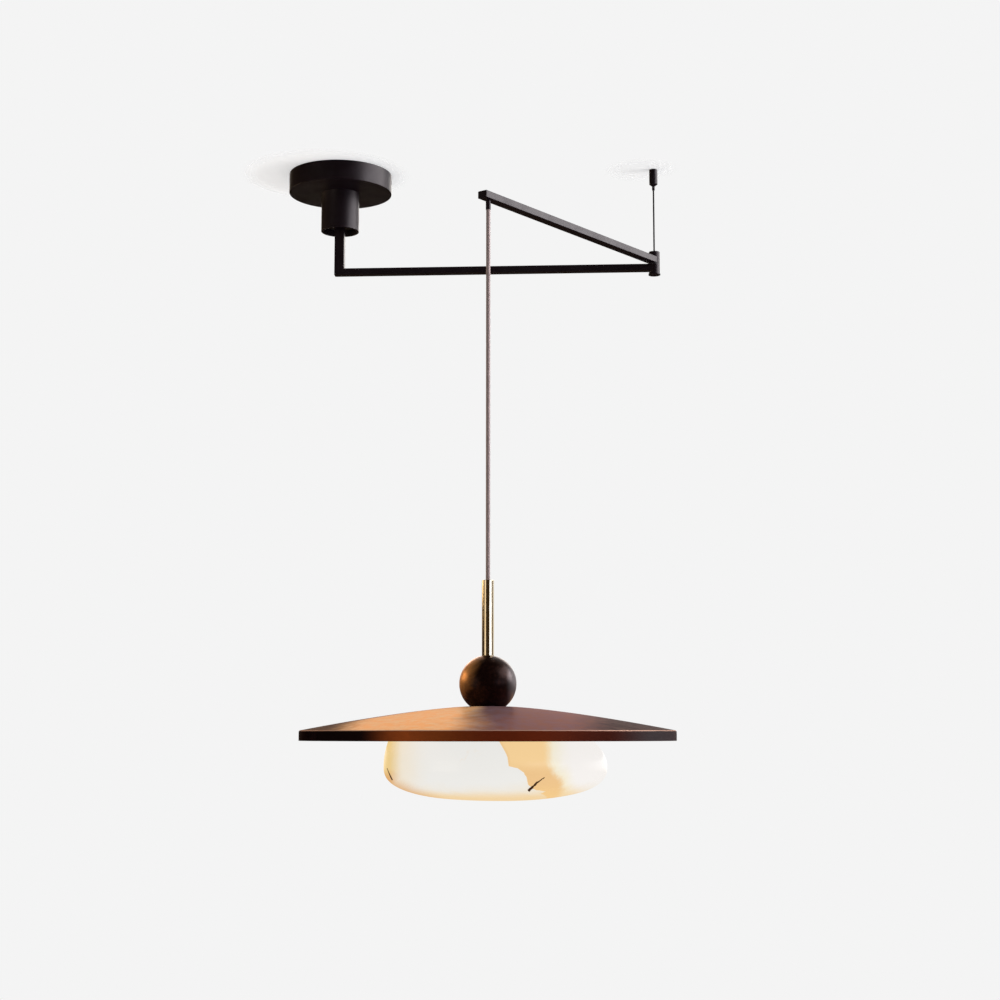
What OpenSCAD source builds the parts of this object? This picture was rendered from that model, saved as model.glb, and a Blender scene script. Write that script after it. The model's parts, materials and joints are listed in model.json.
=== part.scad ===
// Swing arm pendant: a ceiling canopy with a swivelling lower arm, a wire that holds the elbow up,
// an upper arm that turns over the lower one, and a lamp on a cord: brass stem, ball, shade and
// a hollow stone diffuser. The origin is the middle of the ceiling plate, on the ceiling.

/* [Canopy] */
// Outside diameter of the canopy cover
canopy_d = 130; // [120:1:160]
// Height of the canopy cover below the ceiling
canopy_h = 24.5; // [22:0.5:40]
// Wall of the canopy cover
canopy_wall = 1.5; // [1:0.1:2]
// Thickness of the ceiling plate
plate_t = 3; // [2:0.5:4]
// Gap between the rim of the ceiling plate and the cover
plate_rim_gap = 5.5; // [4.5:0.5:8]
// Circle that the four ceiling screws stand on
fixing_pcd = 90; // [84:1:94]
// Hole for a ceiling screw
fixing_hole_d = 5; // [4:0.5:6]
// Hole in the plate where the supply cable comes in
entry_d = 20; // [14:1:22]
// Distance from the middle to the cable hole
entry_offset = 45; // [44:0.5:47]
// Diameter of the set screws that hold the cover
cover_screw_d = 3.8; // [3:0.1:4.5]
// Height of the set screws below the ceiling
cover_screw_drop = 10; // [8:0.5:14]

/* [Wiring box] */
// Length of the driver
driver_l = 44; // [36:1:46]
// Width of the driver
driver_w = 22; // [16:1:22]
// Height of the driver
driver_h = 15; // [10:0.5:17]
// Length of the terminal block
terminal_l = 30; // [20:1:34]
// Width of the terminal block
terminal_w = 12; // [9:0.5:13]
// Height of the terminal block
terminal_h = 14; // [10:0.5:16]

/* [Neck] */
// Outside diameter of the neck
neck_d = 48; // [44:0.5:52]
// Length of the neck below the canopy
neck_l = 49.5; // [44:0.5:60]
// Wall of the neck
neck_wall = 3; // [2:0.25:4]
// Thickness of the neck's bearing web
web_t = 12; // [8:0.5:14]
// Depth of the recess that is open at the bottom of the neck
recess_depth = 12; // [10:0.5:16]
// Thickness of the neck's top flange
flange_t = 4; // [3:0.5:5]
// Diameter of the neck's top flange
flange_d = 66; // [65:0.5:70]
// Diameter of the bolts through the flange
neck_bolt_d = 4; // [3:0.5:5]

/* [Shoulder bearing] */
// Diameter of the hollow spindle
spindle_d = 14; // [12:0.5:16]
// Bore of the spindle, where the lead runs
spindle_bore_d = 8; // [5:0.5:9]
// Wall of the bearing bush
bush_wall = 2; // [1.5:0.25:2.5]
// Thickness of the spindle's flange
spindle_flange_t = 5; // [4:0.5:6]
// Diameter of the spindle's flange
spindle_flange_d = 34; // [28:1:38]
// Height of the spindle nut
nut_h = 7; // [5:0.5:8]
// Width of the spindle nut across its flats
nut_flats = 22; // [20:0.5:24]
// Diameter of the pin that stops the swivel
stop_pin_d = 4; // [3:0.5:4.5]
// Width of the tab that meets the stop pin
stop_tab_w = 4; // [3:0.5:5]

/* [Arms] */
// Canopy axis to elbow axis
lower_arm_l = 398; // [300:1:500]
// Height of the middle of the lower arm, below the ceiling
lower_arm_drop = 127; // [120:0.5:150]
// Elbow axis to cord axis
upper_arm_l = 340; // [250:1:380]
// Upper arm's end, past the cord
upper_arm_end = 10.7; // [8:0.1:16]
// Width of an arm
arm_w = 12; // [10:0.25:12.5]
// Height of an arm
arm_h = 8.25; // [7:0.25:8.75]
// Gap between the two arms as they pass
arm_gap = 1.05; // [1:0.05:3]
// Wall of an arm
arm_wall = 1.25; // [0.8:0.05:1.5]
// Radius on an arm's long edges
arm_edge_r = 0.8; // [0.4:0.1:1.2]
// Width of the riser
riser_w = 12.25; // [11:0.25:12.5]
// Angle of the upper arm at rest, from the lower arm's direction
upper_arm_turn = -124.1; // [-170:0.1:170]

/* [Elbow] */
// Diameter of the elbow barrels
barrel_d = 13.7; // [13:0.1:15]
// Wall of the elbow barrels
barrel_wall = 1.35; // [1.2:0.05:1.5]
// Height of the lower barrel below the lower arm
barrel_foot = 3.5; // [3:0.05:6]
// Height of the upper barrel above the upper arm
barrel_head = 6.8; // [6.5:0.05:9]
// Diameter of the elbow pin
elbow_pin_d = 4.5; // [4:0.1:4.6]
// Height of the pin's head
pin_head_h = 1.8; // [1.4:0.1:2.4]
// How far the pin's head stands past the barrel
pin_head_lip = 0.7; // [0.2:0.1:1]

/* [Ceiling wire] */
// Diameter of the wire that holds the elbow
wire_d = 2; // [1.2:0.1:2]
// Diameter of the wire gripper
gripper_d = 10.4; // [9:0.2:14]
// Height of the wire gripper
gripper_h = 19; // [18:0.5:24]
// Thread hole in the gripper's top
gripper_thread_d = 6; // [5:0.5:6.5]
// Depth of the thread hole
gripper_thread_l = 8; // [6:0.5:8]
// Diameter of the release nipple
nipple_d = 3.6; // [3.6:0.1:4.4]
// How far the nipple stands out of the gripper's nose
nipple_out = 5.5; // [3:0.5:6]
// Height of the gripper's tapered nose
nose_h = 2; // [1.5:0.5:4]

/* [Cord] */
// Diameter of the pendant cord
cord_d = 4.7; // [4:0.1:5]
// Diameter of the leads inside the arms
lead_d = 2.6; // [2:0.1:2.8]
// Length of the gland below the upper arm
gland_l = 11; // [6:0.5:14]
// Wall of the gland
gland_wall = 0.4; // [0.4:0.05:0.8]

/* [Stem and ball] */
// Diameter of the brass stem
stem_d = 13; // [11:0.1:16]
// Length of the brass stem
stem_l = 81; // [70:1:120]
// Wall of the brass stem
stem_wall = 1; // [0.8:0.1:1.2]
// Diameter of the ball
ball_d = 61.2; // [54:0.2:70]
// Height of the ball, between its two flats
ball_h = 54; // [48:0.2:56]
// Diameter of the threaded rod
rod_d = 8; // [6:0.5:8.5]
// Bore of the threaded rod
rod_bore_d = 5; // [3.5:0.5:5.5]

/* [Shade] */
// Diameter of the shade
shade_d = 400; // [340:1:460]
// Height of the shade's top above its rim band
shade_rise = 25.4; // [20:0.2:34]
// Height of the rim band
rim_h = 10.7; // [8:0.1:16]
// Thickness of the shade's metal
shade_t = 1.2; // [1:0.1:2]
// How the crown falls away from its seat: 1 is a cone, 2 a bowl
crown_power = 1.35; // [1.2:0.01:1.8]
// Radius of the flat seat under the ball
seat_r = 22; // [21.8:0.1:26]
// Radius on the rim's top edge
rim_edge_r = 1.5; // [1:0.1:2]
// Depth of the back plate above the rim's lower edge
plate_recess = 2.2; // [1:0.1:4]
// Thickness of the back plate
back_plate_t = 1.2; // [1:0.1:2]

/* [Light source] */
// Diameter of the heat spreader
spreader_d = 150; // [120:1:176]
// Thickness of the heat spreader
spreader_t = 3; // [2:0.5:4]
// Thickness of the light board
board_t = 1.6; // [1:0.1:2]
// Diameter of the hub spacer
hub_d = 26; // [20:0.5:30]
// Light chips in the outer ring
chip_count = 24; // [12:1:30]

/* [Diffuser] */
// Half width of the stone, left to right
stone_a = 119.2; // [112:0.1:126]
// Half depth of the stone, front to back
stone_b = 116; // [114:0.5:122]
// How far the stone bulges forward of an oval
stone_skew = 2; // [0:0.5:3]
// How far the stone's middle lies to one side of the lamp's axis
stone_offset = 8; // [0:0.1:8.5]
// Direction of that offset
stone_turn = 3.4; // [0:0.1:20]
// Height of the stone below its widest level
stone_low_h = 35.5; // [30:0.5:44]
// Height of the stone above its widest level
stone_top_h = 29.2; // [22:0.1:32]
// Wall of the stone below its cavity
stone_floor = 12; // [8:0.5:16]
// Radius of the stone's cavity
stone_cavity_r = 94; // [90:0.5:96]
// Diameter of the ring that carries the stone
carrier_d = 200; // [196:0.5:201]
// Height of the carrier ring
carrier_h = 6.2; // [5:0.1:8]
// Width of the carrier ring
carrier_w = 5.4; // [5:0.1:7]

/* [Clearances] */
// Between turning faces
run_gap = 0.1; // [0.05:0.05:0.2]
// Around a screw, pin or thread, on the radius
fit_gap = 0.05; // [0.03:0.01:0.1]
// Around a part that slides or passes through, on the radius
pass_gap = 0.2; // [0.1:0.05:0.4]
// Between the stone and its ring or the back plate
stone_gap = 0.4; // [0.3:0.05:0.8]

/* [Hidden] */
$fn = 72;
fixing_count = 4;

// Colours
black_paint = [0.05, 0.045, 0.048];
steel = [0.62, 0.63, 0.65];
brass = [0.78, 0.62, 0.34];
bronze = [0.42, 0.24, 0.17];
dark_bronze = [0.16, 0.09, 0.07];
stone = [0.95, 0.9, 0.8];
white_plastic = [0.92, 0.92, 0.9];
grey_plastic = [0.35, 0.36, 0.38];
cord_grey = [0.3, 0.27, 0.26];
lead_white = [0.85, 0.85, 0.85];
board_green = [0.9, 0.92, 0.9];

// Canopy
canopy_in_r = canopy_d / 2 - canopy_wall;
plate_r = canopy_in_r - plate_rim_gap;
tab_t = 2.5;
tab_w = 14;
tab_face = canopy_in_r - 3.5;
tab_h = cover_screw_drop + 6;
screw_l = canopy_d / 2 - tab_face + tab_t + 0.5;
driver_y = -flange_d / 2 - 1 - driver_w;
terminal_x = -flange_d / 2 - 4 - terminal_w;

// Neck, from the ceiling plate down
flange_top = -plate_t;
neck_bottom = -canopy_h - neck_l;
neck_r = neck_d / 2;
neck_in_r = neck_r - neck_wall;
web_bottom = neck_bottom + recess_depth;
web_top = web_bottom + web_t;
neck_bolt_r = flange_d / 2 - neck_bolt_d - 0.2;
bolt_head_h = neck_bolt_d;
window_w = 8;
window_top = flange_top - flange_t - 2;
window_h = 11;

// Shoulder
bush_flange_t = 1.5;
bush_r = spindle_d / 2 + fit_gap;
bush_out_r = bush_r + bush_wall;
stack_r = bush_out_r + 4;
ring_bottom = web_top + bush_flange_t + run_gap;
ring_t = 2;
washer_t = 1.5;
washer_bottom = ring_bottom + ring_t;
nut_bottom = washer_bottom + washer_t;
spindle_top = nut_bottom + nut_h + 2;
spindle_flange_top = web_bottom - 5 * run_gap;
riser_top = spindle_flange_top - spindle_flange_t;
stop_r = stack_r + stop_pin_d / 2 + 2.5;

// Arms: the upper one passes over the lower one
lower_arm_z = -lower_arm_drop;
upper_arm_z = lower_arm_z + arm_h + arm_gap;
arm_in_h = arm_h - 2 * arm_wall;
arm_in_w = arm_w - 2 * arm_wall;
arm_in_r = 0.4;
plug_t = 1.2;
upper_arm_tip = upper_arm_l + upper_arm_end;

// Elbow
barrel_r = barrel_d / 2;
barrel_in_r = barrel_r - barrel_wall;
barrel_split = lower_arm_z + arm_h / 2 + arm_gap / 2;
washer_gap_t = 0.4;
lower_barrel_top = barrel_split - washer_gap_t / 2 - run_gap / 2;
lower_barrel_bottom = lower_arm_z - arm_h / 2 - barrel_foot;
upper_barrel_bottom = barrel_split + washer_gap_t / 2 + run_gap / 2;
upper_barrel_top = upper_arm_z + arm_h / 2 + barrel_head;
barrel_floor_t = 2.5;
roof_t = 2.5;
nut_pocket_h = 2;
pin_r = elbow_pin_d / 2;
bush_ring_t = 0.8;
elbow_bush_wall = 1.2;
roof_bottom = upper_barrel_top - nut_pocket_h - roof_t;
elbow_nut_h = 1.7;
elbow_nut_r = barrel_r - 2.55;
pin_top = upper_barrel_top - 0.3;
wire_seat_depth = 9;
lead_orbit = (pin_r + barrel_in_r) / 2;

// Wire gripper
grip_web_t = 1;
grip_floor_t = 2;
grip_bore_r = gripper_d / 2 - 1.7;
grip_cavity_top = -gripper_thread_l - grip_web_t;
grip_cavity_bottom = -gripper_h + grip_floor_t;
nipple_head_h = 1.5;
nipple_tip = -gripper_h - nose_h - nipple_out;
ball_r = 0.85;
spring_wall = 1;
wire_bore_r = wire_d / 2 + pass_gap;
nipple_bore_r = wire_d / 2 + pass_gap + 0.05;
grip_ball_z = grip_cavity_bottom + nipple_head_h + ball_r;
grip_ball_orbit = wire_d / 2 + ball_r + fit_gap;
spring_bottom = grip_ball_z + ball_r;

// Gland and cord, below the upper arm
arm_under = upper_arm_z - arm_h / 2;
arm_floor = arm_under + arm_wall;
gland_bore_r = cord_d / 2 + fit_gap;
gland_r = gland_bore_r + gland_wall;
gland_flange_t = 0.8;
gland_mouth = arm_under - gland_l;
clamp_bottom = arm_floor + gland_flange_t;
clamp_h = 4.1;
clamp_d = 8;
clamp_screw_d = 2.5;
head_top = clamp_bottom + 3;

// The cord's route below the gland's mouth, and the wire's below the ceiling: taut and plumb
cord_route = [[0, 0, 0], [0, 0, -200], [0, 0, -410.5]];
wire_route = [[0, 0, -8.5], [0, 0, -60], [0, 0, -115]];
cord_l = cord_route[0][2] - cord_route[2][2];

// Lamp, down the cord's axis
lamp_x = lower_arm_l + upper_arm_l * cos(upper_arm_turn);
lamp_y = upper_arm_l * sin(upper_arm_turn);
stem_top = gland_mouth - cord_l;
stem_bottom = stem_top - stem_l;
stem_bush_h = 10;
tail_l = 54;
anchor_top = stem_top - 46;
anchor_h = 22;
anchor_d = stem_d - 2 * stem_wall - 0.4;
ball_r_out = ball_d / 2;
ball_flat_up = sqrt(pow(ball_r_out, 2) - pow(stem_d / 2, 2));
ball_z = stem_bottom - ball_flat_up;
shade_top = stem_bottom - ball_h;
rod_top = anchor_top - anchor_h + 10;
rod_hole_r = rod_d / 2 + pass_gap;
shade_r = shade_d / 2;
rim_top = shade_top - shade_rise;
rim_bottom = rim_top - rim_h;
back_plate_bottom = rim_bottom + plate_recess;
back_plate_top = back_plate_bottom + back_plate_t;
back_plate_r = shade_r - shade_t - 0.3;
rod_washer_d = 24;
rod_washer_t = 1.5;
rod_nut_h = 6.5;
rod_nut_flats = 13;
rod_bottom = back_plate_bottom - rod_washer_t - rod_nut_h - 2;

// How far the shade's crown has fallen at a radius
crown_edge_r = shade_r - rim_edge_r;
crown_steps = 16;
function crown_drop(r) = shade_rise * pow((r - seat_r) / (crown_edge_r - seat_r), crown_power);

// Light source
spreader_in_d = 30;
board_d = spreader_d - 6;
board_in_d = spreader_in_d + 4;
spreader_bottom = back_plate_bottom - spreader_t;
board_bottom = spreader_bottom - board_t;
chip_size = 3;
chip_h = 0.7;
chip_ring_r = board_d / 2 - 14;
chip_inner_r = board_d / 2 - 36;
carrier_r = carrier_d / 2;
carrier_bottom = back_plate_bottom - carrier_h;
carrier_screw_r = carrier_r - carrier_w / 2;
carrier_screw_d = 3;
carrier_screw_count = 3;

// Stone
stone_top = back_plate_bottom - stone_gap;
stone_mid = stone_top - stone_top_h;
stone_bottom = stone_mid - stone_low_h;
stone_segments = 56;
stone_power = 2.5;
stone_left_h = 95;
stone_right_h = 57;
stone_mouth_r = carrier_r + stone_gap;
cavity_bottom = stone_bottom + stone_floor;

// ---- shapes used by several parts ----

module ring(out_r, in_r, h) {
    difference() {
        cylinder(r = out_r, h = h);
        translate([0, 0, -1]) cylinder(r = in_r, h = h + 2);
    }
}

module hex(flats, h) {
    cylinder(r = flats / 2 / cos(30), h = h, $fn = 6);
}

// A rectangle with rounded corners, from two bars and four circles
module round_rect(w, h, r) {
    square([w - 2 * r, h], center = true);
    square([w, h - 2 * r], center = true);
    for (x = [-1, 1], y = [-1, 1])
        translate([x * (w / 2 - r), y * (h / 2 - r)]) circle(r = r, $fn = 24);
}

// A bar along +X from x0 to x1, centred on height z
module bar_x(x0, x1, w, h, r, z) {
    translate([x0, 0, z]) rotate([90, 0, 90]) linear_extrude(x1 - x0) round_rect(w, h, r);
}

// Tubes swept along a route, with rings square to it
function unit(v) = v / norm(v);
function tangent(p, i) =
    let (last = len(p) - 1)
    unit(p[min(i + 1, last)] - p[max(i - 1, 0)]);
function square_to(t) = unit(cross(t, abs(t[1]) < 0.9 ? [0, 1, 0] : [1, 0, 0]));
function carried(n, t) = unit(n - (n * t) * t);
function normals(p, i = 0, n = undef) =
    i == len(p) ? [] :
    let (t = tangent(p, i), here = i == 0 ? square_to(t) : carried(n, t))
    concat([here], normals(p, i + 1, here));
function sweep_points(p, r, sides) =
    let (ns = normals(p))
    [for (i = [0 : len(p) - 1]) let (b = cross(tangent(p, i), ns[i]))
        for (k = [0 : sides - 1])
            p[i] + r * (cos(360 * k / sides) * ns[i] + sin(360 * k / sides) * b)];
function sweep_faces(count, sides) =
    concat([[for (k = [0 : sides - 1]) k]],
           [for (i = [0 : count - 2], k = [0 : sides - 1])
               let (a = i * sides + k, b = i * sides + (k + 1) % sides)
               [a, a + sides, b]],
           [for (i = [0 : count - 2], k = [0 : sides - 1])
               let (a = i * sides + k, b = i * sides + (k + 1) % sides)
               [b, a + sides, b + sides]],
           [[for (k = [sides - 1 : -1 : 0]) (count - 1) * sides + k]]);
module swept(p, d, sides) {
    polyhedron(points = sweep_points(p, d / 2, sides), faces = sweep_faces(len(p), sides));
}

// A straight route cut into steps of about the given length
function stepped(a, b, step) =
    let (n = max(1, round(norm(b - a) / step)))
    [for (i = [0 : n]) a + (b - a) * i / n];

// The same along a route of several points
function finer(p, step) =
    concat([p[0]],
           [for (i = [1 : len(p) - 1]) let (s = stepped(p[i - 1], p[i], step))
               for (k = [1 : len(s) - 1]) s[k]]);

// The frames of the moving bodies at rest
module at_elbow() { translate([lower_arm_l, 0, 0]) children(); }
module on_upper_arm() { at_elbow() rotate(upper_arm_turn) children(); }
module on_lamp() { translate([lamp_x, lamp_y, 0]) children(); }
module up_from(z) { translate([0, 0, z]) children(); }

// ---- canopy ----

module ceiling_plate() {
    color(steel) difference() {
        union() {
            up_from(-plate_t) cylinder(r = plate_r, h = plate_t);
            for (a = [0, 180]) rotate(a) {
                translate([plate_r - 8, -tab_w / 2, -plate_t])
                    cube([tab_face - plate_r + 8, tab_w, plate_t]);
                translate([tab_face - tab_t, -tab_w / 2, -tab_h]) cube([tab_t, tab_w, tab_h]);
            }
        }
        for (i = [0 : fixing_count - 1])
            rotate(45 + i * 360 / fixing_count)
                translate([fixing_pcd / 2, 0, -plate_t - 1]) cylinder(d = fixing_hole_d, h = plate_t + 2);
        translate([0, entry_offset, -plate_t - 1]) cylinder(d = entry_d, h = plate_t + 2);
        for (i = [0 : 2])
            rotate(90 + i * 120)
                translate([neck_bolt_r, 0, -plate_t - 1])
                    cylinder(r = neck_bolt_d / 2 + fit_gap, h = plate_t + 2);
        for (a = [0, 180])
            rotate(a) translate([tab_face - tab_t - 1, 0, -cover_screw_drop])
                rotate([0, 90, 0]) cylinder(r = cover_screw_d / 2 + fit_gap, h = tab_t + 2);
    }
}

module canopy_cover() {
    color(black_paint) difference() {
        up_from(-canopy_h) cylinder(d = canopy_d, h = canopy_h);
        up_from(-canopy_h + canopy_wall) cylinder(r = canopy_in_r, h = canopy_h);
        up_from(-canopy_h - 1) cylinder(r = neck_r + pass_gap, h = canopy_wall + 2);
        for (a = [0, 180])
            rotate(a) translate([canopy_in_r - 1, 0, -cover_screw_drop])
                rotate([0, 90, 0]) cylinder(r = cover_screw_d / 2 + pass_gap, h = canopy_wall + 2);
    }
}

module cover_screws() {
    color(black_paint)
        for (a = [0, 180])
            rotate(a) translate([canopy_d / 2 - screw_l - 0.3, 0, -cover_screw_drop])
                rotate([0, 90, 0]) difference() {
                    cylinder(d = cover_screw_d, h = screw_l);
                    up_from(screw_l - 2) hex(2, 3);
                }
}

module terminal_block() {
    color(white_plastic) difference() {
        translate([terminal_x, -terminal_l / 2, -plate_t - terminal_h])
            cube([terminal_w, terminal_l, terminal_h]);
        for (i = [-1 : 1])
            translate([terminal_x + terminal_w / 2, i * terminal_l / 3.4, -plate_t - terminal_h - 1])
                cylinder(d = 4, h = 5);
    }
}

module led_driver() {
    color(grey_plastic) difference() {
        translate([-driver_l / 2, driver_y, -plate_t - driver_h])
            cube([driver_l, driver_w, driver_h]);
        for (x = [-1, 1])
            translate([x * (driver_l / 2 - 4), driver_y + driver_w / 2, -plate_t - driver_h - 1])
                cylinder(d = 3, h = 3);
    }
}

module mains_lead() {
    z = -plate_t - 7;
    x = terminal_x + terminal_w / 2;
    y = driver_y + driver_w / 2;
    route = [[x, -terminal_l / 2, z], [x, -terminal_l / 2 - 6, z], [x + 0.5, -terminal_l / 2 - 12, z],
             [x + 3, y + 9, z], [x + 7, y + 4, z], [x + 12, y + 1, z], [-driver_l / 2 - 4, y, z],
             [-driver_l / 2, y, z]];
    color(lead_white) swept(route, lead_d, 8);
}

module supply_lead() {
    route = [[0, driver_y + driver_w, -plate_t - 12], [0, -29, -plate_t - 12], [0, -22, -plate_t - 12.5],
             [0, -16, -plate_t - 14], [0, -10, -plate_t - 17], [0, -5, -plate_t - 22],
             [0, -1.5, -plate_t - 26], [0, 0, spindle_top + 2], [0, 0, spindle_top]];
    color(lead_white) swept(route, lead_d, 8);
}

// ---- neck and shoulder ----

module neck_housing() {
    color(black_paint) difference() {
        union() {
            up_from(neck_bottom) cylinder(r = neck_r, h = flange_top - neck_bottom);
            up_from(flange_top - flange_t) cylinder(d = flange_d, h = flange_t);
        }
        up_from(web_top) cylinder(r = neck_in_r, h = -web_top + 1);
        up_from(neck_bottom - 1) cylinder(r = neck_in_r, h = recess_depth + 1);
        up_from(web_bottom - 1) cylinder(r = bush_out_r, h = web_t + 2);
        for (i = [0 : 2])
            rotate(90 + i * 120)
                translate([neck_bolt_r, 0, flange_top - flange_t - 1])
                    cylinder(r = neck_bolt_d / 2 + fit_gap, h = flange_t + 2);
        translate([-stop_r, 0, web_top - 8]) cylinder(r = stop_pin_d / 2 + fit_gap, h = 9);
        translate([-window_w / 2, -neck_r - 1, window_top - window_h])
            cube([window_w, neck_wall + 2, window_h]);
    }
}

module neck_bolts() {
    color(steel)
        for (i = [0 : 2])
            rotate(90 + i * 120) translate([neck_bolt_r, 0, flange_top - flange_t]) difference() {
                union() {
                    cylinder(d = neck_bolt_d, h = flange_t + plate_t - 0.3);
                    up_from(-bolt_head_h) cylinder(r = neck_bolt_d * 0.85, h = bolt_head_h);
                }
                up_from(-bolt_head_h - 1) hex(neck_bolt_d * 0.75, bolt_head_h / 2 + 1);
            }
}

module stop_pin() {
    color(steel) translate([-stop_r, 0, web_top - 7.5]) cylinder(d = stop_pin_d, h = 13);
}

module shoulder_bush() {
    color(brass) difference() {
        union() {
            up_from(web_bottom) cylinder(r = bush_out_r, h = web_t);
            up_from(web_top) cylinder(r = stack_r, h = bush_flange_t);
        }
        up_from(web_bottom - 1) cylinder(r = bush_r, h = web_t + bush_flange_t + 2);
    }
}

module shoulder_spindle() {
    color(steel) difference() {
        union() {
            up_from(riser_top) cylinder(d = spindle_flange_d, h = spindle_flange_t);
            up_from(riser_top) cylinder(d = spindle_d, h = spindle_top - riser_top);
        }
        up_from(riser_top - 1) cylinder(d = spindle_bore_d, h = spindle_top - riser_top + 2);
    }
}

// The tab on this ring meets the stop pin and keeps the arm from winding up the lead
module stop_ring() {
    color(steel) up_from(ring_bottom) difference() {
        union() {
            cylinder(r = stack_r, h = ring_t);
            translate([0, -stop_tab_w / 2, 0]) cube([stop_r + stop_pin_d / 2 - 0.2, stop_tab_w, ring_t]);
        }
        up_from(-1) cylinder(r = bush_r, h = ring_t + 2);
    }
}

module shoulder_washer() {
    color(steel) up_from(washer_bottom) ring(stack_r, bush_r, washer_t);
}

module shoulder_nut() {
    color(steel) up_from(nut_bottom) difference() {
        hex(nut_flats, nut_h);
        up_from(-1) cylinder(r = bush_r, h = nut_h + 2);
    }
}

// ---- lower arm ----

module lower_arm_tube() {
    color(black_paint) difference() {
        union() {
            bar_x(-riser_w / 2 + 1, lower_arm_l, arm_w, arm_h, arm_edge_r, lower_arm_z);
            up_from(lower_arm_z - arm_h / 2)
                linear_extrude(riser_top - lower_arm_z + arm_h / 2)
                    round_rect(riser_w, arm_w, arm_edge_r);
        }
        bar_x(-riser_w / 2 + arm_wall, lower_arm_l, arm_in_w, arm_in_h, arm_in_r, lower_arm_z);
        up_from(lower_arm_z)
            linear_extrude(riser_top - lower_arm_z + 1)
                round_rect(riser_w - 2 * arm_wall, arm_in_w, arm_in_r);
        at_elbow() up_from(lower_barrel_bottom) cylinder(r = barrel_r, h = 40);
    }
}

module lower_arm_lead() {
    turn = 6;
    run_end = lower_arm_l - 14;
    route = concat(
        stepped([0, 0, spindle_top], [0, 0, lower_arm_z + turn + 4], 9),
        [[0.5, 0, lower_arm_z + turn], [2, 0, lower_arm_z + 2.8], [4.6, 0, lower_arm_z + 0.8]],
        stepped([9, 0, lower_arm_z], [run_end, 0, lower_arm_z], 9),
        [[lower_arm_l - 8, 0, lower_arm_z + 0.3],
         [lower_arm_l - lead_orbit - 1.2, 0, lower_arm_z + 1.2],
         [lower_arm_l - lead_orbit, 0, lower_arm_z + 2.8],
         [lower_arm_l - lead_orbit, 0, barrel_split - run_gap / 2]]);
    color(lead_white) swept(route, lead_d, 8);
}

module lower_barrel() {
    color(black_paint) at_elbow() difference() {
        up_from(lower_barrel_bottom) cylinder(r = barrel_r, h = lower_barrel_top - lower_barrel_bottom);
        up_from(lower_barrel_bottom + barrel_floor_t) cylinder(r = barrel_in_r, h = 40);
        up_from(lower_barrel_bottom - 1) cylinder(r = pin_r + fit_gap, h = barrel_floor_t + 2);
        translate([-barrel_r - 1, -arm_in_w / 2 + 0.5, lower_arm_z - arm_in_h / 2])
            cube([barrel_r, arm_in_w - 1, arm_in_h]);
    }
}

module elbow_pin() {
    color(steel) at_elbow() difference() {
        union() {
            up_from(lower_barrel_bottom) cylinder(r = pin_r, h = pin_top - lower_barrel_bottom);
            up_from(lower_barrel_bottom - pin_head_h)
                cylinder(r = barrel_r + pin_head_lip, h = pin_head_h);
        }
        up_from(pin_top - wire_seat_depth) cylinder(r = wire_bore_r, h = wire_seat_depth + 1);
        up_from(lower_barrel_bottom - pin_head_h - 1) hex(4, 2);
    }
}

module elbow_washer() {
    color(white_plastic) at_elbow() up_from(lower_barrel_top)
        ring(barrel_r - 0.1, barrel_in_r, washer_gap_t);
}

module elbow_nut() {
    color(steel) at_elbow() up_from(roof_bottom + roof_t + run_gap) difference() {
        cylinder(r = elbow_nut_r, h = elbow_nut_h);
        up_from(-1) cylinder(r = pin_r + fit_gap, h = elbow_nut_h + 2);
        for (a = [0, 90])
            rotate(a) translate([-elbow_nut_r - 1, -0.5, elbow_nut_h - 0.7])
                cube([2 * elbow_nut_r + 2, 1, 1]);
    }
}

// ---- ceiling wire ----

module support_wire() {
    color(steel) at_elbow() swept(finer(wire_route, 3 * wire_d), wire_d, 8);
}

module gripper_body() {
    color(black_paint) at_elbow() difference() {
        union() {
            up_from(-gripper_h) cylinder(d = gripper_d, h = gripper_h);
            up_from(-gripper_h - nose_h) cylinder(r1 = nipple_d / 2 + 0.8, r2 = gripper_d / 2, h = nose_h);
        }
        up_from(-gripper_thread_l) cylinder(d = gripper_thread_d, h = gripper_thread_l + 1);
        up_from(grip_cavity_bottom)
            cylinder(r = grip_bore_r, h = grip_cavity_top - grip_cavity_bottom);
        up_from(-gripper_h - nose_h - 1)
            cylinder(r = nipple_d / 2 + run_gap, h = grip_floor_t + nose_h + 2);
        up_from(grip_cavity_top - 1) cylinder(r = wire_bore_r, h = grip_web_t + 2);
    }
}

module gripper_spring() {
    color(steel) at_elbow() up_from(spring_bottom)
        ring(grip_bore_r - 0.4, grip_bore_r - 0.4 - spring_wall, grip_cavity_top - spring_bottom);
}

module release_nipple() {
    color(steel) at_elbow() difference() {
        union() {
            up_from(nipple_tip) cylinder(d = nipple_d, h = grip_cavity_bottom - nipple_tip + 0.5);
            up_from(grip_cavity_bottom) cylinder(r = grip_bore_r - 0.3, h = nipple_head_h);
        }
        up_from(nipple_tip - 1) cylinder(r = nipple_bore_r, h = grip_cavity_top - nipple_tip);
    }
}

module gripper_balls() {
    color(steel) at_elbow()
        for (i = [0 : 2])
            rotate(i * 120) translate([grip_ball_orbit, 0, grip_ball_z]) sphere(r = ball_r, $fn = 32);
}

// ---- upper arm ----

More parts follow.
